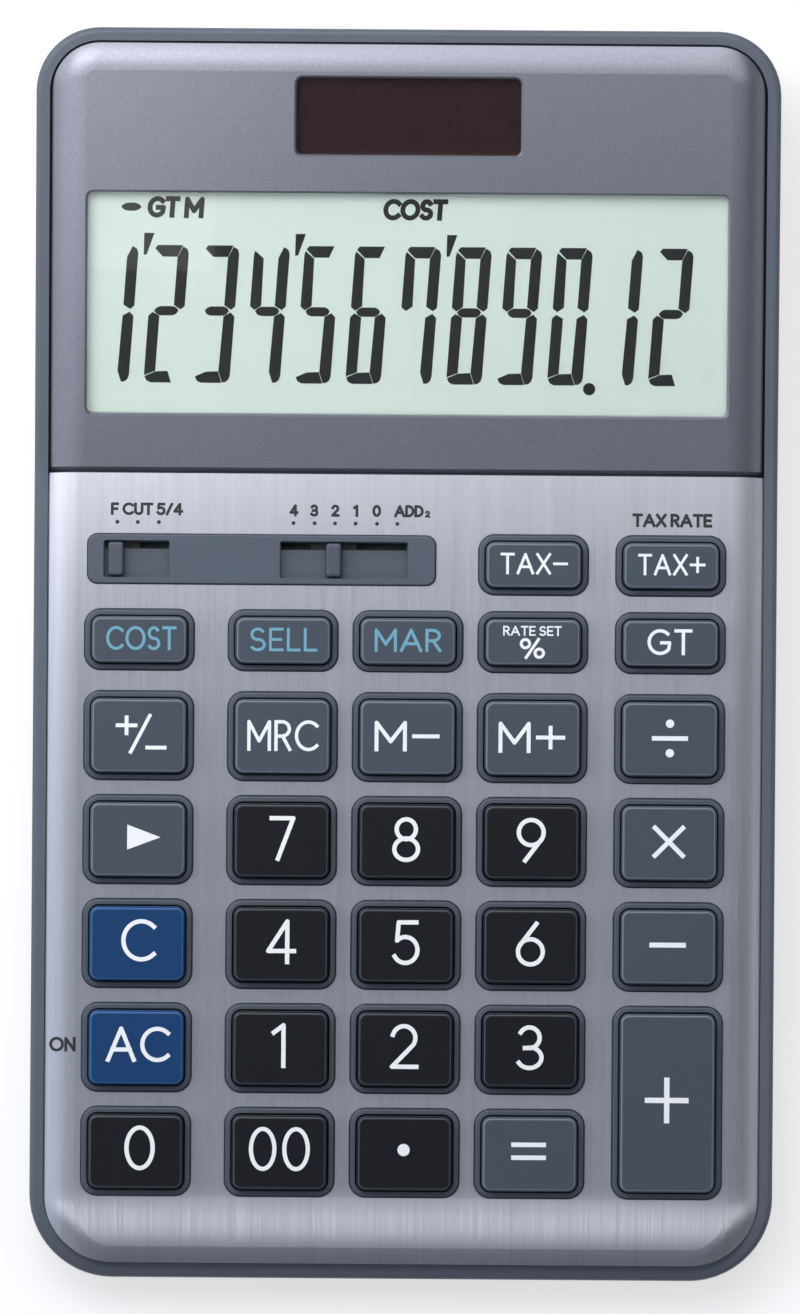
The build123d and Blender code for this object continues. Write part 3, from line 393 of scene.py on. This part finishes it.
# %% Switch plastics
slot_shadow_start, slot_shadow_end = 1.1 * mm, 1.3 * mm       # below the plate's top
switch_plastic = finish("switch_plastic", srgb(72, 81, 94), 0.4, 0.0003, 0.00002, drift=0.05)
switch_tree = switch_plastic.node_tree
# painted shade: the bezel's leaning flanks are made dark
lay_over(switch_tree, leaning(switch_tree, 0.90, 0.55), srgb(38, 44, 52))
dress(switch_plastic, "switch_bezel")

slider_plastic = finish("slider_plastic", srgb(66, 74, 86), 0.4, 0.0003, 0.00002, drift=0.05)
slider_tree = slider_plastic.node_tree
# painted shade: the sliders' leaning flanks are made dark
lay_over(slider_tree, leaning(slider_tree, 0.85, 0.35), srgb(34, 40, 48))
plate_height = seam @ keypad[2] * mm
slider_height = along(slider_tree, coordinates(slider_tree), keypad[2].tolist())
# painted shade: the sliders are made dark below the plate's top, down in their slots
slider_slot_shade = between(
    slider_tree, slider_height, 1.0, 0.0,
    plate_height - slot_shadow_end, plate_height - slot_shadow_start,
)
lay_over(slider_tree, slider_slot_shade, srgb(40, 47, 54))
dress(slider_plastic, "rounding_slider", "decimal_slider")
print("bezel and sliders dressed")

# %% [markdown]
# ## Brushed plate
# The keypad plate is thin aluminium, brushed from front to back and anodised clear. Brushing is
# thousands of fine grooves, far longer than wide. Noise stretched along Y gives them: one fine
# set and one broad set, which vary the tone, the gloss and the surface. Without them the plate
# would look like grey paint. Too fine to model, the grooves also spread each mirrored lamp
# sideways and keep it sharp from front to back, which the shader's anisotropy does with a tangent
# that points along X.

# %% Brushed aluminium
brushed_plate = finish(
    "brushed_plate", srgb(206, 207, 213), 0.34, 0.0004, 0.0, drift=0.03, drift_size=0.03,
    metallic=0.92, Anisotropic=0.75,
)
plate_tree = brushed_plate.node_tree
plate_shader = plate_tree.nodes["Principled BSDF"]
fine_grooves = noise(plate_tree, [0.00016, 0.02, 0.02], 3)
broad_grooves = noise(plate_tree, [0.0011, 0.06, 0.06], 4)
lay_over(plate_tree, between(plate_tree, fine_grooves, 0.0, 0.5), srgb(178, 180, 189))
lay_over(plate_tree, between(plate_tree, broad_grooves, 0.0, 0.35), srgb(222, 222, 228))
groove_gloss = between(plate_tree, fine_grooves, 0.27, 0.38)
plate_tree.links.new(groove_gloss, plate_shader.inputs["Roughness"])
across = plate_tree.nodes.new("ShaderNodeCombineXYZ")
across.inputs["X"].default_value = 1.0
plate_tree.links.new(across.outputs[0], plate_shader.inputs["Tangent"])
relief(plate_tree, fine_grooves, 0.000004)
relief(plate_tree, broad_grooves, 0.000008)
dress(brushed_plate, "keypad_plate")
print("plate brushed")

# %% [markdown]
# ## Painted panel and windows
# The display panel carries a satin metallic paint: tiny flakes under a clear coat. A fine speckle
# in tone stands for the flakes. The windows are clear acrylic, so the shader lets light through,
# and the solar window is smoked.

# %% Panel, windows, display glass and solar cell
panel_paint = finish(
    "panel_paint", srgb(129, 131, 141), 0.34, 0.00022, 0.000004, drift=0.03, drift_size=0.02,
    metallic=0.85, Coat_Weight=0.25, Coat_Roughness=0.2,
)
panel_tree = panel_paint.node_tree
flakes = noise(panel_tree, [0.00028] * 3, 2)
lay_over(panel_tree, between(panel_tree, flakes, 0.0, 0.3, 0.4, 0.75), srgb(163, 165, 174))
dress(panel_paint, "display_panel")

clear_acrylic = finish(
    "clear_acrylic", srgb(253, 255, 254), 0.02, 0.004, 0.0, drift=0.0,
    Transmission_Weight=1.0, IOR=1.3, Specular_IOR_Level=0.12,
)
dress(clear_acrylic, "lcd_window")
smoked_acrylic = finish(
    "smoked_acrylic", srgb(190, 176, 176), 0.05, 0.004, 0.0, drift=0.02,
    Transmission_Weight=1.0, IOR=1.3,
)
dress(smoked_acrylic, "solar_window")

lcd_surface = finish(
    "lcd_surface", srgb(240, 252, 243), 0.6, 0.0003, 0.000004, drift=0.02, drift_size=0.02
)
dress(lcd_surface, "lcd_glass")

cell_surface = finish(
    "cell_surface", srgb(100, 80, 80), 0.3, 0.0004, 0.0, drift=0.12, drift_size=0.004
)
dress(cell_surface, "solar_cell")
print("panel, windows and display dressed")

# %% [markdown]
# ## Keys
# The keys are satin plastic, dyed through, in three colours: slate for the functions, near black
# for the figures and blue for the two clearing keys. Their tops are polished by fingers a little,
# so their gloss is a touch sharper than the case's. Each top's rounded edge has a painted
# highlight, a lighter band where the surface leans a little and not a lot, because so fine an
# edge would otherwise be lost in the picture.

# %% Key plastics
# the second colour of each pair is the painted highlight on the key top's rounded edge
key_colours = {       # each slot's own colour and that of its edge band
    "key_slate": (srgb(68, 77, 87), srgb(112, 121, 132)),
    "key_black": (srgb(14, 17, 22), srgb(66, 72, 80)),
    "key_blue": (srgb(14, 58, 104), srgb(52, 98, 150)),
}
key_plastics = {}
for slot, (colour, highlight_colour) in key_colours.items():
    plastic = finish(
        slot, colour, 0.36, 0.0003, 0.000012, drift=0.05, drift_size=0.006, Specular_IOR_Level=0.25
    )
    tree = plastic.node_tree
    # painted highlight: a lighter band where the top's edge leans a little
    edge_highlight = maths(tree, "SUBTRACT", leaning(tree, 0.985, 0.93), leaning(tree, 0.87, 0.70))
    lay_over(tree, edge_highlight, highlight_colour)
    key_plastics[slot] = plastic
node_slots = {part["node"]: part["material_slot"] for part in frame["record"]["subparts"]}
key_nodes = [name for name in nodes if name.startswith("key_")]
for name in key_nodes:
    dress(key_plastics[node_slots[name]], name)
print(len(key_nodes), "keys dressed")

# %% [markdown]
# ## What is inside and underneath
# Opened up, the calculator shows a board, rubber, springs and screws. They are rarely seen, but
# each still gets the finish of the real thing, so that the part holds up from every side and when
# its pieces are looked at alone.

# %% Inner finishes
inner_finishes = [
    ("holder_plastic", srgb(32, 33, 36), 0.45, 0.0004, 0.00002, 0.0, ["lcd_holder"]),
    ("ribbon_film", srgb(176, 120, 48), 0.3, 0.0006, 0.000005, 0.0, ["lcd_ribbon"]),
    ("wire_sleeve", srgb(168, 34, 28), 0.35, 0.0004, 0.00001, 0.0, ["power_leads"]),
    ("key_rubber", srgb(158, 160, 164), 0.7, 0.0005, 0.00002, 0.0,
     ["rubber_key_mat", "rubber_domes"]),
    ("board_laminate", srgb(84, 100, 100), 0.55, 0.0007, 0.00001, 0.0, ["main_board"]),
    ("chip_resin", srgb(20, 20, 22), 0.2, 0.0015, 0.00003, 0.0, ["controller_chip"]),
    ("screw_steel", srgb(182, 182, 186), 0.3, 0.0003, 0.00001, 1.0,
     ["board_screws", "case_screws", "battery_cover_screw"]),
    ("cell_steel", srgb(212, 212, 214), 0.2, 0.0005, 0.000004, 1.0, ["button_cell"]),
    ("contact_metal", srgb(222, 200, 150), 0.28, 0.0004, 0.000005, 1.0,
     ["battery_contacts", "rounding_wiper", "decimal_wiper"]),
    ("foot_rubber", srgb(38, 38, 40), 0.85, 0.0004, 0.00004, 0.0, ["rubber_feet"]),
]
for name, colour, roughness, grain, depth, metallic, members in inner_finishes:
    dress(finish(name, colour, roughness, grain, depth, metallic=metallic), *members)
print(len(inner_finishes), "inner finishes")

# %% [markdown]
# ## Drawing legends with a pen
# The legends are one even line wide, as a pen would draw them, so they need no font: each figure
# or letter is a few pen runs on a box one unit high. Straight runs are points, and bowls are
# parts of an ellipse. The ends are square and the corners round. A ready font was the other way,
# but its stroke width and its figure one couldn't be matched to the keys.

# %% The pen's runs


def bowl(centre_x, centre_y, radius_x, radius_y, start, end):
    """Points on part of an ellipse, ten degrees apart: centre plus radius times cosine or sine."""
    angle = np.radians(np.linspace(start, end, max(6, int(abs(end - start) / 10))))
    return np.column_stack([
        centre_x + radius_x * np.cos(angle), centre_y + radius_y * np.sin(angle)
    ])


def line(*points):
    """Straight pen run through the points."""
    return np.array(points, float)


def joined(*runs):
    """One pen run from several."""
    return np.vstack(runs)


glyphs = {
    "0": [bowl(0.31, 0.5, 0.31, 0.5, 90, 450)],
    "1": [line((0, 0.82), (0.24, 1), (0.24, 0))],
    "2": [joined(bowl(0.29, 0.71, 0.28, 0.29, 165, -38), line((0, 0), (0.6, 0)))],
    "3": [joined(bowl(0.27, 0.745, 0.25, 0.255, 150, -90), line((0.16, 0.49),)),
          joined(line((0.16, 0.49),), bowl(0.27, 0.255, 0.3, 0.255, 78, -150))],
    "4": [line((0.47, 0), (0.47, 1), (0, 0.27), (0.64, 0.27))],
    "5": [joined(line((0.53, 1), (0.08, 1), (0.04, 0.55)),
                 bowl(0.25, 0.32, 0.31, 0.32, 122, -150))],
    "6": [bowl(0.3, 0.31, 0.3, 0.31, 90, 450), line((0.44, 1), (0.07, 0.5))],
    "7": [line((0, 1), (0.57, 1), (0.17, 0))],
    "8": [bowl(0.29, 0.755, 0.235, 0.245, 90, 450), bowl(0.29, 0.265, 0.29, 0.265, 90, 450)],
    "9": [bowl(0.3, 0.69, 0.3, 0.31, 90, 450), line((0.16, 0), (0.53, 0.5))],
    "A": [line((0, 0), (0.4, 1), (0.8, 0)), line((0.13, 0.33), (0.67, 0.33))],
    "C": [bowl(0.47, 0.5, 0.47, 0.5, 46, 314)],
    "D": [joined(line((0, 0), (0, 1), (0.2, 1)), bowl(0.2, 0.5, 0.45, 0.5, 80, -80),
                 line((0.2, 0), (0, 0)))],
    "E": [line((0.5, 1), (0, 1), (0, 0), (0.5, 0)), line((0, 0.5), (0.44, 0.5))],
    "F": [line((0.48, 1), (0, 1), (0, 0)), line((0, 0.5), (0.42, 0.5))],
    "G": [joined(bowl(0.46, 0.5, 0.46, 0.5, 46, 322), line((0.86, 0.47), (0.52, 0.47)))],
    "L": [line((0, 1), (0, 0), (0.46, 0))],
    "M": [line((0, 0), (0, 1), (0.4, 0.3), (0.8, 1), (0.8, 0))],
    "N": [line((0, 0), (0, 1), (0.22, 0.667), (0.44, 0.333), (0.66, 0), (0.66, 1))],
    "O": [bowl(0.47, 0.5, 0.47, 0.5, 90, 450)],
    "R": [line((0, 0), (0, 1)),
          joined(line((0, 1), (0.24, 1)), bowl(0.24, 0.74, 0.28, 0.26, 80, -80),
                 line((0.24, 0.48), (0, 0.48))),
          line((0.26, 0.48), (0.54, 0))],
    "S": [joined(bowl(0.27, 0.745, 0.25, 0.255, 35, 262), bowl(0.27, 0.25, 0.28, 0.25, 82, -145))],
    "T": [line((0, 1), (0.62, 1)), line((0.31, 1), (0.31, 0))],
    "U": [joined(line((0, 1),), bowl(0.3, 0.32, 0.3, 0.32, 180, 360), line((0.6, 1),))],
    "X": [line((0, 0), (0.66, 1)), line((0, 1), (0.66, 0))],
    "%": [bowl(0.2, 0.76, 0.2, 0.23, 90, 450), bowl(0.86, 0.24, 0.2, 0.23, 90, 450),
          line((0.24, 0), (0.82, 1))],
    "/": [line((0, 0), (0.42, 1))],
    "-": [line((0, 0.5), (0.66, 0.5))],
    "+": [line((0, 0.5), (0.72, 0.5)), line((0.36, 0.14), (0.36, 0.86))],
    " ": [],
}
print(len(glyphs), "figures and letters")

# %% From pen runs to raised print
letter_gap, space_width = 0.26, 0.3     # shares of the letter's height
corner_bend = 25          # degrees, the sharpest bend that a pen run goes round in one piece
end_stations = 6          # how many stations shape a run's end
print_root = 0.03         # how deep print reaches into its surface, in millimetres
print_lift = 0.0004       # how much higher each piece of a print lies than the one before


def text_runs(text, centre, height, width, pen):
    """A word's pen runs in millimetres, fitted into a box of that size round a centre."""
    gap = letter_gap if len(text) > 1 else 0
    x, runs = 0.0, []
    for letter in text:
        parts = glyphs[letter]
        if parts:
            runs += [part + (x, 0) for part in parts]
            x += max(part[:, 0].max() for part in parts) + gap
        else:
            x += space_width
    total = max(x - gap, 0.001)
    scale = np.array([(width - pen) / total, height - pen])
    return [(run - (total / 2, 0.5)) * scale + centre for run in runs]


def word_runs(words, origin):
    """The pen runs of a table of words, each placed from the origin, and the pen of each run."""
    runs, pens = [], []
    for word, height, width, pen, across, up in words:
        found = text_runs(word, (origin[0] + across, origin[1] + up), height, width, pen)
        runs += found
        pens += [pen] * len(found)
    return runs, pens


def split_at_corners(run):
    """Cut a run at every sharp bend, and tell which ends of each piece are at such a cut."""
    steps = np.diff(run, axis=0)
    steps /= np.linalg.norm(steps, axis=1, keepdims=True)
    turns = (steps[:-1] * steps[1:]).sum(axis=1)       # the cosine of each bend
    sharp = np.flatnonzero(turns < np.cos(np.radians(corner_bend))) + 1
    last = len(run) - 1
    cuts = [0, *sharp.tolist(), last]
    return [
        (run[start:end + 1], (start > 0, end < last)) for start, end in zip(cuts[:-1], cuts[1:])
    ]


def pen_strip(run, half_width, low, high, rounds):
    """Vertices and faces of a run drawn with a pen.

    Each station has four corners: the run's point plus and minus the half width times the sideways
    arrow, at the top and at the bottom. Past a round end, the half width follows a quarter circle.
    A square end keeps it."""
    closed = np.allclose(run[0], run[-1]) and len(run) > 4
    points = run[:-1] if closed else run
    if closed:
        heading = np.roll(points, -1, axis=0) - np.roll(points, 1, axis=0)
    else:
        heading = np.gradient(points, axis=0)
    heading = heading / np.linalg.norm(heading, axis=1, keepdims=True)
    widths = np.full(len(points), half_width)
    if not closed:
        turn = np.radians(np.linspace(6, 75, end_stations))
        reach = (half_width * np.cos(turn))[:, None]
        first_widths, last_widths = [
            half_width * (np.sin(turn) if end else np.ones(end_stations)) for end in rounds
        ]
        points = np.vstack([
            points[0] - heading[0] * reach, points, points[-1] + heading[-1] * reach[::-1]
        ])
        heading = np.vstack([
            np.repeat(heading[:1], end_stations, 0), heading,
            np.repeat(heading[-1:], end_stations, 0),
        ])
        widths = np.concatenate([first_widths, widths, last_widths[::-1]])
    sideways = np.column_stack([-heading[:, 1], heading[:, 0]]) * widths[:, None]
    left, right = points + sideways, points - sideways
    corners = [
        np.column_stack([edge, np.full(len(edge), level)])
        for edge, level in ((left, high), (right, high), (right, low), (left, low))
    ]
    vertices = np.stack(corners, axis=1).reshape(-1, 3)
    count = len(points)
    here = np.arange(count if closed else count - 1)
    after = (here + 1) % count
    faces = [
        np.column_stack([4 * here + a, 4 * here + b, 4 * after + b, 4 * after + a])
        for a, b in ((0, 1), (1, 2), (2, 3), (3, 0))
    ]
    if not closed:
        last = 4 * (count - 1)
        faces.append(np.array([[0, 3, 2, 1], [last, last + 1, last + 2, last + 3]]))
    return vertices, np.vstack(faces)


def prism(outline, low, high):
    """A flat plate: its outline at the top and again at the bottom, and a side face per edge."""
    points = np.asarray(outline, float)
    edge = np.roll(points, -1, axis=0) - points
    area = (points[:, 0] * edge[:, 1] - points[:, 1] * edge[:, 0]).sum()
    points = points if area > 0 else points[::-1]
    count = len(points)
    vertices = np.vstack([
        np.column_stack([points, np.full(count, level)]) for level in (high, low)
    ])
    here = np.arange(count)
    after = (here + 1) % count
    sides = np.column_stack([here, here + count, after + count, after]).tolist()
    return vertices, [list(range(count)), list(range(2 * count - 1, count - 1, -1)), *sides]


def joined_mesh(pieces):
    """Many pieces as one mesh: each piece's corners are counted on from those before it."""
    starts = np.cumsum([0, *[len(corners) for corners, _ in pieces]]).tolist()
    vertices = np.vstack([corners for corners, _ in pieces])
    faces = [
        [corner + start for corner in face]
        for (_, sides), start in zip(pieces, starts) for face in sides
    ]
    return vertices, faces


def add_mesh(name, vertices, faces, axes, material, slot, body):
    """A finished piece from local millimetre points on a plane, riding on a body."""
    mesh = bpy.data.meshes.new(name)
    mesh.from_pydata(on_plane(vertices, axes).tolist(), [], faces)
    mesh.materials.append(material)
    piece = bpy.data.objects.new(name, mesh)
    bpy.context.scene.collection.objects.link(piece)
    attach(piece, body)


def add_print(name, runs, pens, dots, axes, level, thickness, material, slot, body, drop=None):
    """Print made of many pen runs and dots, each dot a place and a diameter.

    Each piece lies a hair higher than the one before, so that no two faces coincide. Where the
    surface bends away, drop tells how far it has sunk at a distance from the middle, and the
    print's points sink with it."""
    pieces = []
    for run, pen in zip(runs, pens):
        for piece, rounds in split_at_corners(run):
            high = level + thickness + print_lift * len(pieces)
            strip, strip_faces = pen_strip(piece, pen / 2, level - print_root, high, rounds)
            pieces.append((strip, strip_faces.tolist()))
    for across, up, diameter in dots:
        disc = bowl(across, up, diameter / 2, diameter / 2, 0, 345)
        high = level + thickness + print_lift * len(pieces)
        pieces.append(prism(disc, level - print_root, high))
    vertices, faces = joined_mesh(pieces)
    if drop:
        vertices[:, 2] -= drop(vertices[:, 0])
    add_mesh(name, vertices, faces, axes, material, slot, body)


sample = pen_strip(glyphs["0"][0], 0.05, 0, 1, (True, True))
print("a ring has", len(sample[0]), "corners")

# %% [markdown]
# ## Inks
# Two inks are on the keys, white on most and pale blue on the three price keys. The marks on the
# plate are black. Ink is slightly matt and never quite even, so it takes the same kind of finish
# as the plastics.

# %% Mix the inks
white_ink = finish("white_ink", srgb(236, 238, 240), 0.5, 0.0003, 0.000002, drift=0.03)
blue_ink = finish("blue_ink", srgb(104, 160, 182), 0.5, 0.0003, 0.000002, drift=0.03)
black_ink = finish("black_ink", srgb(26, 28, 32), 0.5, 0.0003, 0.000002, drift=0.05)
print("three inks")

# %% [markdown]
# ## Key legends
# Each legend is printed on its key's top, two hundredths of a millimetre proud, and rides on
# that key's body, so it goes down with the key. The table gives what is drawn: the word, its
# height and width, its pen and its place from the key's middle.

# %% Key legends
key_top, key_print = 2.6, 0.02     # the top over the plate, and the print over the top
figure_height, figure_pen = 6.4, 0.62
legends = {
    "tax_minus": [("TAX-", 3.05, 9.6, 0.39, 0.08, 0.06)],
    "tax_plus": [("TAX+", 3.05, 9.6, 0.39, 0.08, 0.05)],
    "cost": [("COST", 3.4, 10.0, 0.42, 0.3, 0.06)],
    "sell": [("SELL", 3.35, 9.6, 0.4, 0.1, 0)],
    "margin": [("MAR", 3.3, 9.5, 0.44, 0, 0.03)],
    "percent": [("%", 3.0, 3.6, 0.42, -0.1, -1.0), ("RATE SET", 1.4, 8.35, 0.23, -0.1, 1.5)],
    "grand_total": [("GT", 3.7, 6.4, 0.47, -0.1, 0.04)],
    "sign": [("+", 3.7, 3.1, 0.54, -1.7, 1.3), ("/", 5.7, 3.2, 0.5, 0.25, 0.1),
             ("-", 2.6, 3.0, 0.54, 2.5, -1.85)],
    "memory_recall": [("MRC", 4.4, 10.15, 0.48, 0.08, 0)],
    "memory_minus": [("M-", 4.35, 9.25, 0.56, -0.04, 0.04)],
    "memory_plus": [("M+", 4.45, 9.5, 0.56, -0.07, 0)],
    "divide": [("-", 1.0, 5.15, 0.65, 0, 0)],
    "multiply": [("X", 4.6, 4.6, 0.65, -0.04, 0.1)],
    "minus": [("-", 1.0, 5.2, 0.7, -0.1, 0.2)],
    "equals": [("-", 1.0, 4.95, 0.65, -0.1, 1.24), ("-", 1.0, 4.95, 0.65, -0.1, -0.6)],
    "plus": [("+", 8.75, 6.25, 0.76, -0.07, 0.3)],
    "clear": [("C", 6.05, 4.95, 0.62, 0.24, 0.32)],
    "all_clear": [("AC", 5.05, 9.1, 0.6, 0.27, 0.33)],
    "double_zero": [("00", 6.3, 8.7, 0.6, 0.02, 0.38)],
}
figure_widths = {
    "zero": ("0", 4.35, 0.6, 0.4), "one": ("1", 2.0, -0.2, 0.3), "two": ("2", 4.1, -0.1, 0.3),
    "three": ("3", 3.9, 0, 0.26), "four": ("4", 4.3, 0.06, 0.28), "five": ("5", 3.75, 0.1, 0.27),
    "six": ("6", 4.15, -0.06, 0.2), "seven": ("7", 3.7, 0.12, 0.16),
    "eight": ("8", 4.0, -0.05, 0.13), "nine": ("9", 4.15, -0.06, 0.17),
}
legends.update({
    key: [(figure, figure_height, width, figure_pen, across, up)]
    for key, (figure, width, across, up) in figure_widths.items()
})
key_dots = {"divide": [((0, 2.1), 1.2), ((0, -2.1), 1.2)], "point": [((-0.1, 0.37), 1.75)]}
price_keys = ("cost", "sell", "margin")


def key_middle(key):
    """The key's middle on the keypad plane, in millimetres, from its CAD box."""
    low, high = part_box(f"key_{key}")
    centre = (np.array(low) + np.array(high)) / 2 / mm - seam
    return np.array([centre[0], centre @ keypad[1]])


for key_node in key_nodes:
    key = key_node[len("key_"):]
    middle = key_middle(key)
    runs, pens = word_runs(legends.get(key, []), middle)
    dots = [(*(middle + place), diameter) for place, diameter in key_dots.get(key, [])]
    if runs or dots:
        ink = blue_ink if key in price_keys else white_ink
        add_print(
            f"legend_{key}", runs, pens, dots, keypad, key_top, key_print, ink,
            node_slots[key_node], f"{key}_key",
        )
print(len(legends) + 1, "legends printed")

# %% The arrow on the backspace key
arrow_outline = key_middle("backspace") + [(-1.5, 1.98), (-1.5, -1.58), (3.25, 0.2)]
arrow = prism(arrow_outline, key_top - print_root, key_top + key_print)
add_mesh("legend_backspace", *arrow, keypad, white_ink, "key_slate", "backspace_key")
print("arrow printed")

# %% [markdown]
# ## Marks on the plate
# Small black words and dots tell what each stop of the two switches does, what the two tax keys
# share and which key switches the calculator on. They are printed on the brushed plate, so they
# ride on the case. The last word is on the roll of the plate's left edge, where flat print would
# float, so its points sink by the depth of the roll.

# %% Marks on the plate
plate_words = [
    ("F CUT 5/4", 1.8, 10.3, 0.4, -36.9, 20.7), ("4", 1.75, 1.3, 0.4, -15.95, 20.65),
    ("3", 1.75, 1.2, 0.4, -13.05, 20.65), ("2", 1.75, 1.2, 0.4, -10.05, 20.65),
    ("1", 1.75, 0.75, 0.4, -7.15, 20.65), ("0", 1.75, 1.25, 0.4, -4.15, 20.65),
    ("ADD", 1.75, 4.2, 0.4, 0.45, 20.65), ("2", 1.0, 0.75, 0.28, 3.1, 20.25),
    ("TAX RATE", 1.95, 11.4, 0.42, 38.0, 19.6), ("ON", 2.1, 3.8, 0.42, -48.4, -55.7),
]
switch_stops = [-41.1, -38.2, -35.2, -16.0, -13.0, -10.08, -7.15, -4.1, -1.2]
stop_row, stop_dot = 18.83, 0.56
plate_print = 0.012
object_middle = -25.84    # the object's middle along the keypad, from the seam
roll_start, roll_radius = 46.67, 7.0      # of the plate's rolled side edges
runs, pens = word_runs(plate_words, (0, object_middle))
dots = [(stop, stop_row + object_middle, stop_dot) for stop in switch_stops]


def roll_drop(across):
    """How far the plate's edge roll has sunk: the radius minus the circle's height there."""
    past = np.clip(np.abs(across) - roll_start, 0, roll_radius)
    return roll_radius - np.sqrt(roll_radius ** 2 - past ** 2)


add_print(
    "plate_marks", runs, pens, dots, keypad, 0.0, plate_print, black_ink, "brushed_plate",
    "case", drop=roll_drop,
)
print(len(runs), "pen runs and", len(dots), "dots on the plate")

# %% [markdown]
# ## The display's figures
# A figure in a liquid-crystal display is made of seven bars, each switched on or off. The bars
# are flat shapes with mitred ends, leaning over a little, and all twelve figures use the same
# seven. One outline for each bar and a list of which bars light for which figure is all it takes.
# A picture of the display would be quicker, but wouldn't stay sharp.

# %% Seven bars
lean = np.tan(np.radians(4.1))
bars_height = 19.67       # of the outlines below, which cell_height scales
bars = {
    "a": [(0.25, 19.2), (0.6, 19.67), (4.1, 19.67), (3.45, 18.1), (1.42, 18.1)],
    "b": [(4.22, 19.5), (4.78, 19.1), (5.0, 18.5), (5.0, 11.0), (4.45, 10.52), (3.52, 11.15),
          (3.52, 17.9)],
    "c": [(5.0, 9.45), (4.4, 10.05), (3.52, 9.5), (3.4, 1.65), (4.0, 0.08), (4.4, 0.1),
          (4.82, 0.45), (5.0, 1.1)],
    "d": [(0.1, 0.82), (1.6, 1.5), (3.25, 1.58), (3.87, 0), (1.0, 0), (0.4, 0.3)],
    "e": [(0, 9.5), (0.55, 10.05), (1.5, 9.5), (1.5, 1.65), (0.02, 1.05)],
    "f": [(0.12, 18.95), (1.35, 17.85), (1.5, 11.15), (0.6, 10.52), (0, 11.05), (0, 18.4)],
    "g": [(0.78, 10.28), (1.1, 10.68), (1.6, 10.9), (3.35, 10.9), (3.85, 10.7), (4.15, 10.28),
          (3.85, 9.86), (3.35, 9.66), (1.6, 9.66), (1.1, 9.88)],
}
figure_bars = {
    "1": "bc", "2": "abged", "3": "abgcd", "4": "fgbc", "5": "afgcd", "6": "afgcde", "7": "fabc",
    "8": "abcdefg", "9": "abfgcd", "0": "abcdef",
}
print({figure: len(lit) for figure, lit in figure_bars.items()})

# %% Set the number in the display
lcd_level = -2.4          # the glass's top, under the panel's top
lcd_print = 0.05
first_cell, cell_pitch, cell_foot, cell_height = -44.74, 7.19, 38.85, 19.45
ink_spread = 0.04
shown_number = "123456789012"
comma_cells = (1, 4, 7)
comma_mark = np.array([(-0.07, 56.95), (0, 60.05), (1.45, 60.05), (0.36, 57.0)])
minus_middle = (-39.4, 63.75)
minus_sign = np.array([
    (-1.48, 0), (-1.05, 0.4), (-0.5, 0.57), (0.5, 0.57), (1.05, 0.4), (1.48, 0), (1.05, -0.4),
    (0.5, -0.57), (-0.5, -0.57), (-1.05, -0.4),
])


def display_along(seen_up):
    """Distance up the display panel of what the camera sees at a height on the keypad's plane."""
    slope = np.radians(display_tilt - keypad_tilt)
    return (seen_up + object_middle - abs(lcd_level) * np.sin(slope)) / np.cos(slope)


lcd_outlines = []
for place, figure in enumerate(shown_number):
    for name in figure_bars[figure]:
        outline = np.array(bars[name])
        outline += ink_spread * np.sign(outline - outline.mean(axis=0))
        outline[:, 1] *= cell_height / bars_height
        outline[:, 0] += first_cell + cell_pitch * place + outline[:, 1] * lean
        outline[:, 1] += cell_foot
        lcd_outlines.append(outline)
lcd_outlines += [comma_mark + (first_cell + cell_pitch * place, 0) for place in comma_cells]
lcd_outlines.append(minus_sign + minus_middle)
figure_pieces = []
for outline in lcd_outlines:
    outline[:, 1] = display_along(outline[:, 1])
    figure_pieces.append(prism(outline, lcd_level - print_root, lcd_level + lcd_print))
lcd_ink = finish("lcd_ink", srgb(8, 12, 12), 0.55, 0.0004, 0.0, drift=0.04)
add_mesh("display_figures", *joined_mesh(figure_pieces), display, lcd_ink, "lcd_glass", "case")
print(len(lcd_outlines), "bars and marks lit")

# %% Small words in the display
lcd_words = [
    ("GT", 3.05, 4.6, 0.7, -34.8, 63.75), ("M", 3.05, 2.8, 0.7, -30.45, 63.7),
    ("COST", 3.05, 9.15, 0.7, 1.05, 63.6),
]
runs, pens = [], []
for word, height, width, pen, across, up in lcd_words:
    for run in text_runs(word, (across, 0), height, width, pen):
        run[:, 0] += run[:, 1] * lean
        run[:, 1] = display_along(run[:, 1] + up)
        runs.append(run)
        pens.append(pen)
decimal_dot = (26.0, display_along(38.3), 1.75)
add_print(
    "display_words", runs, pens, [decimal_dot], display, lcd_level, lcd_print, lcd_ink,
    "lcd_glass", "case",
)
print(len(runs), "pen runs in the display")
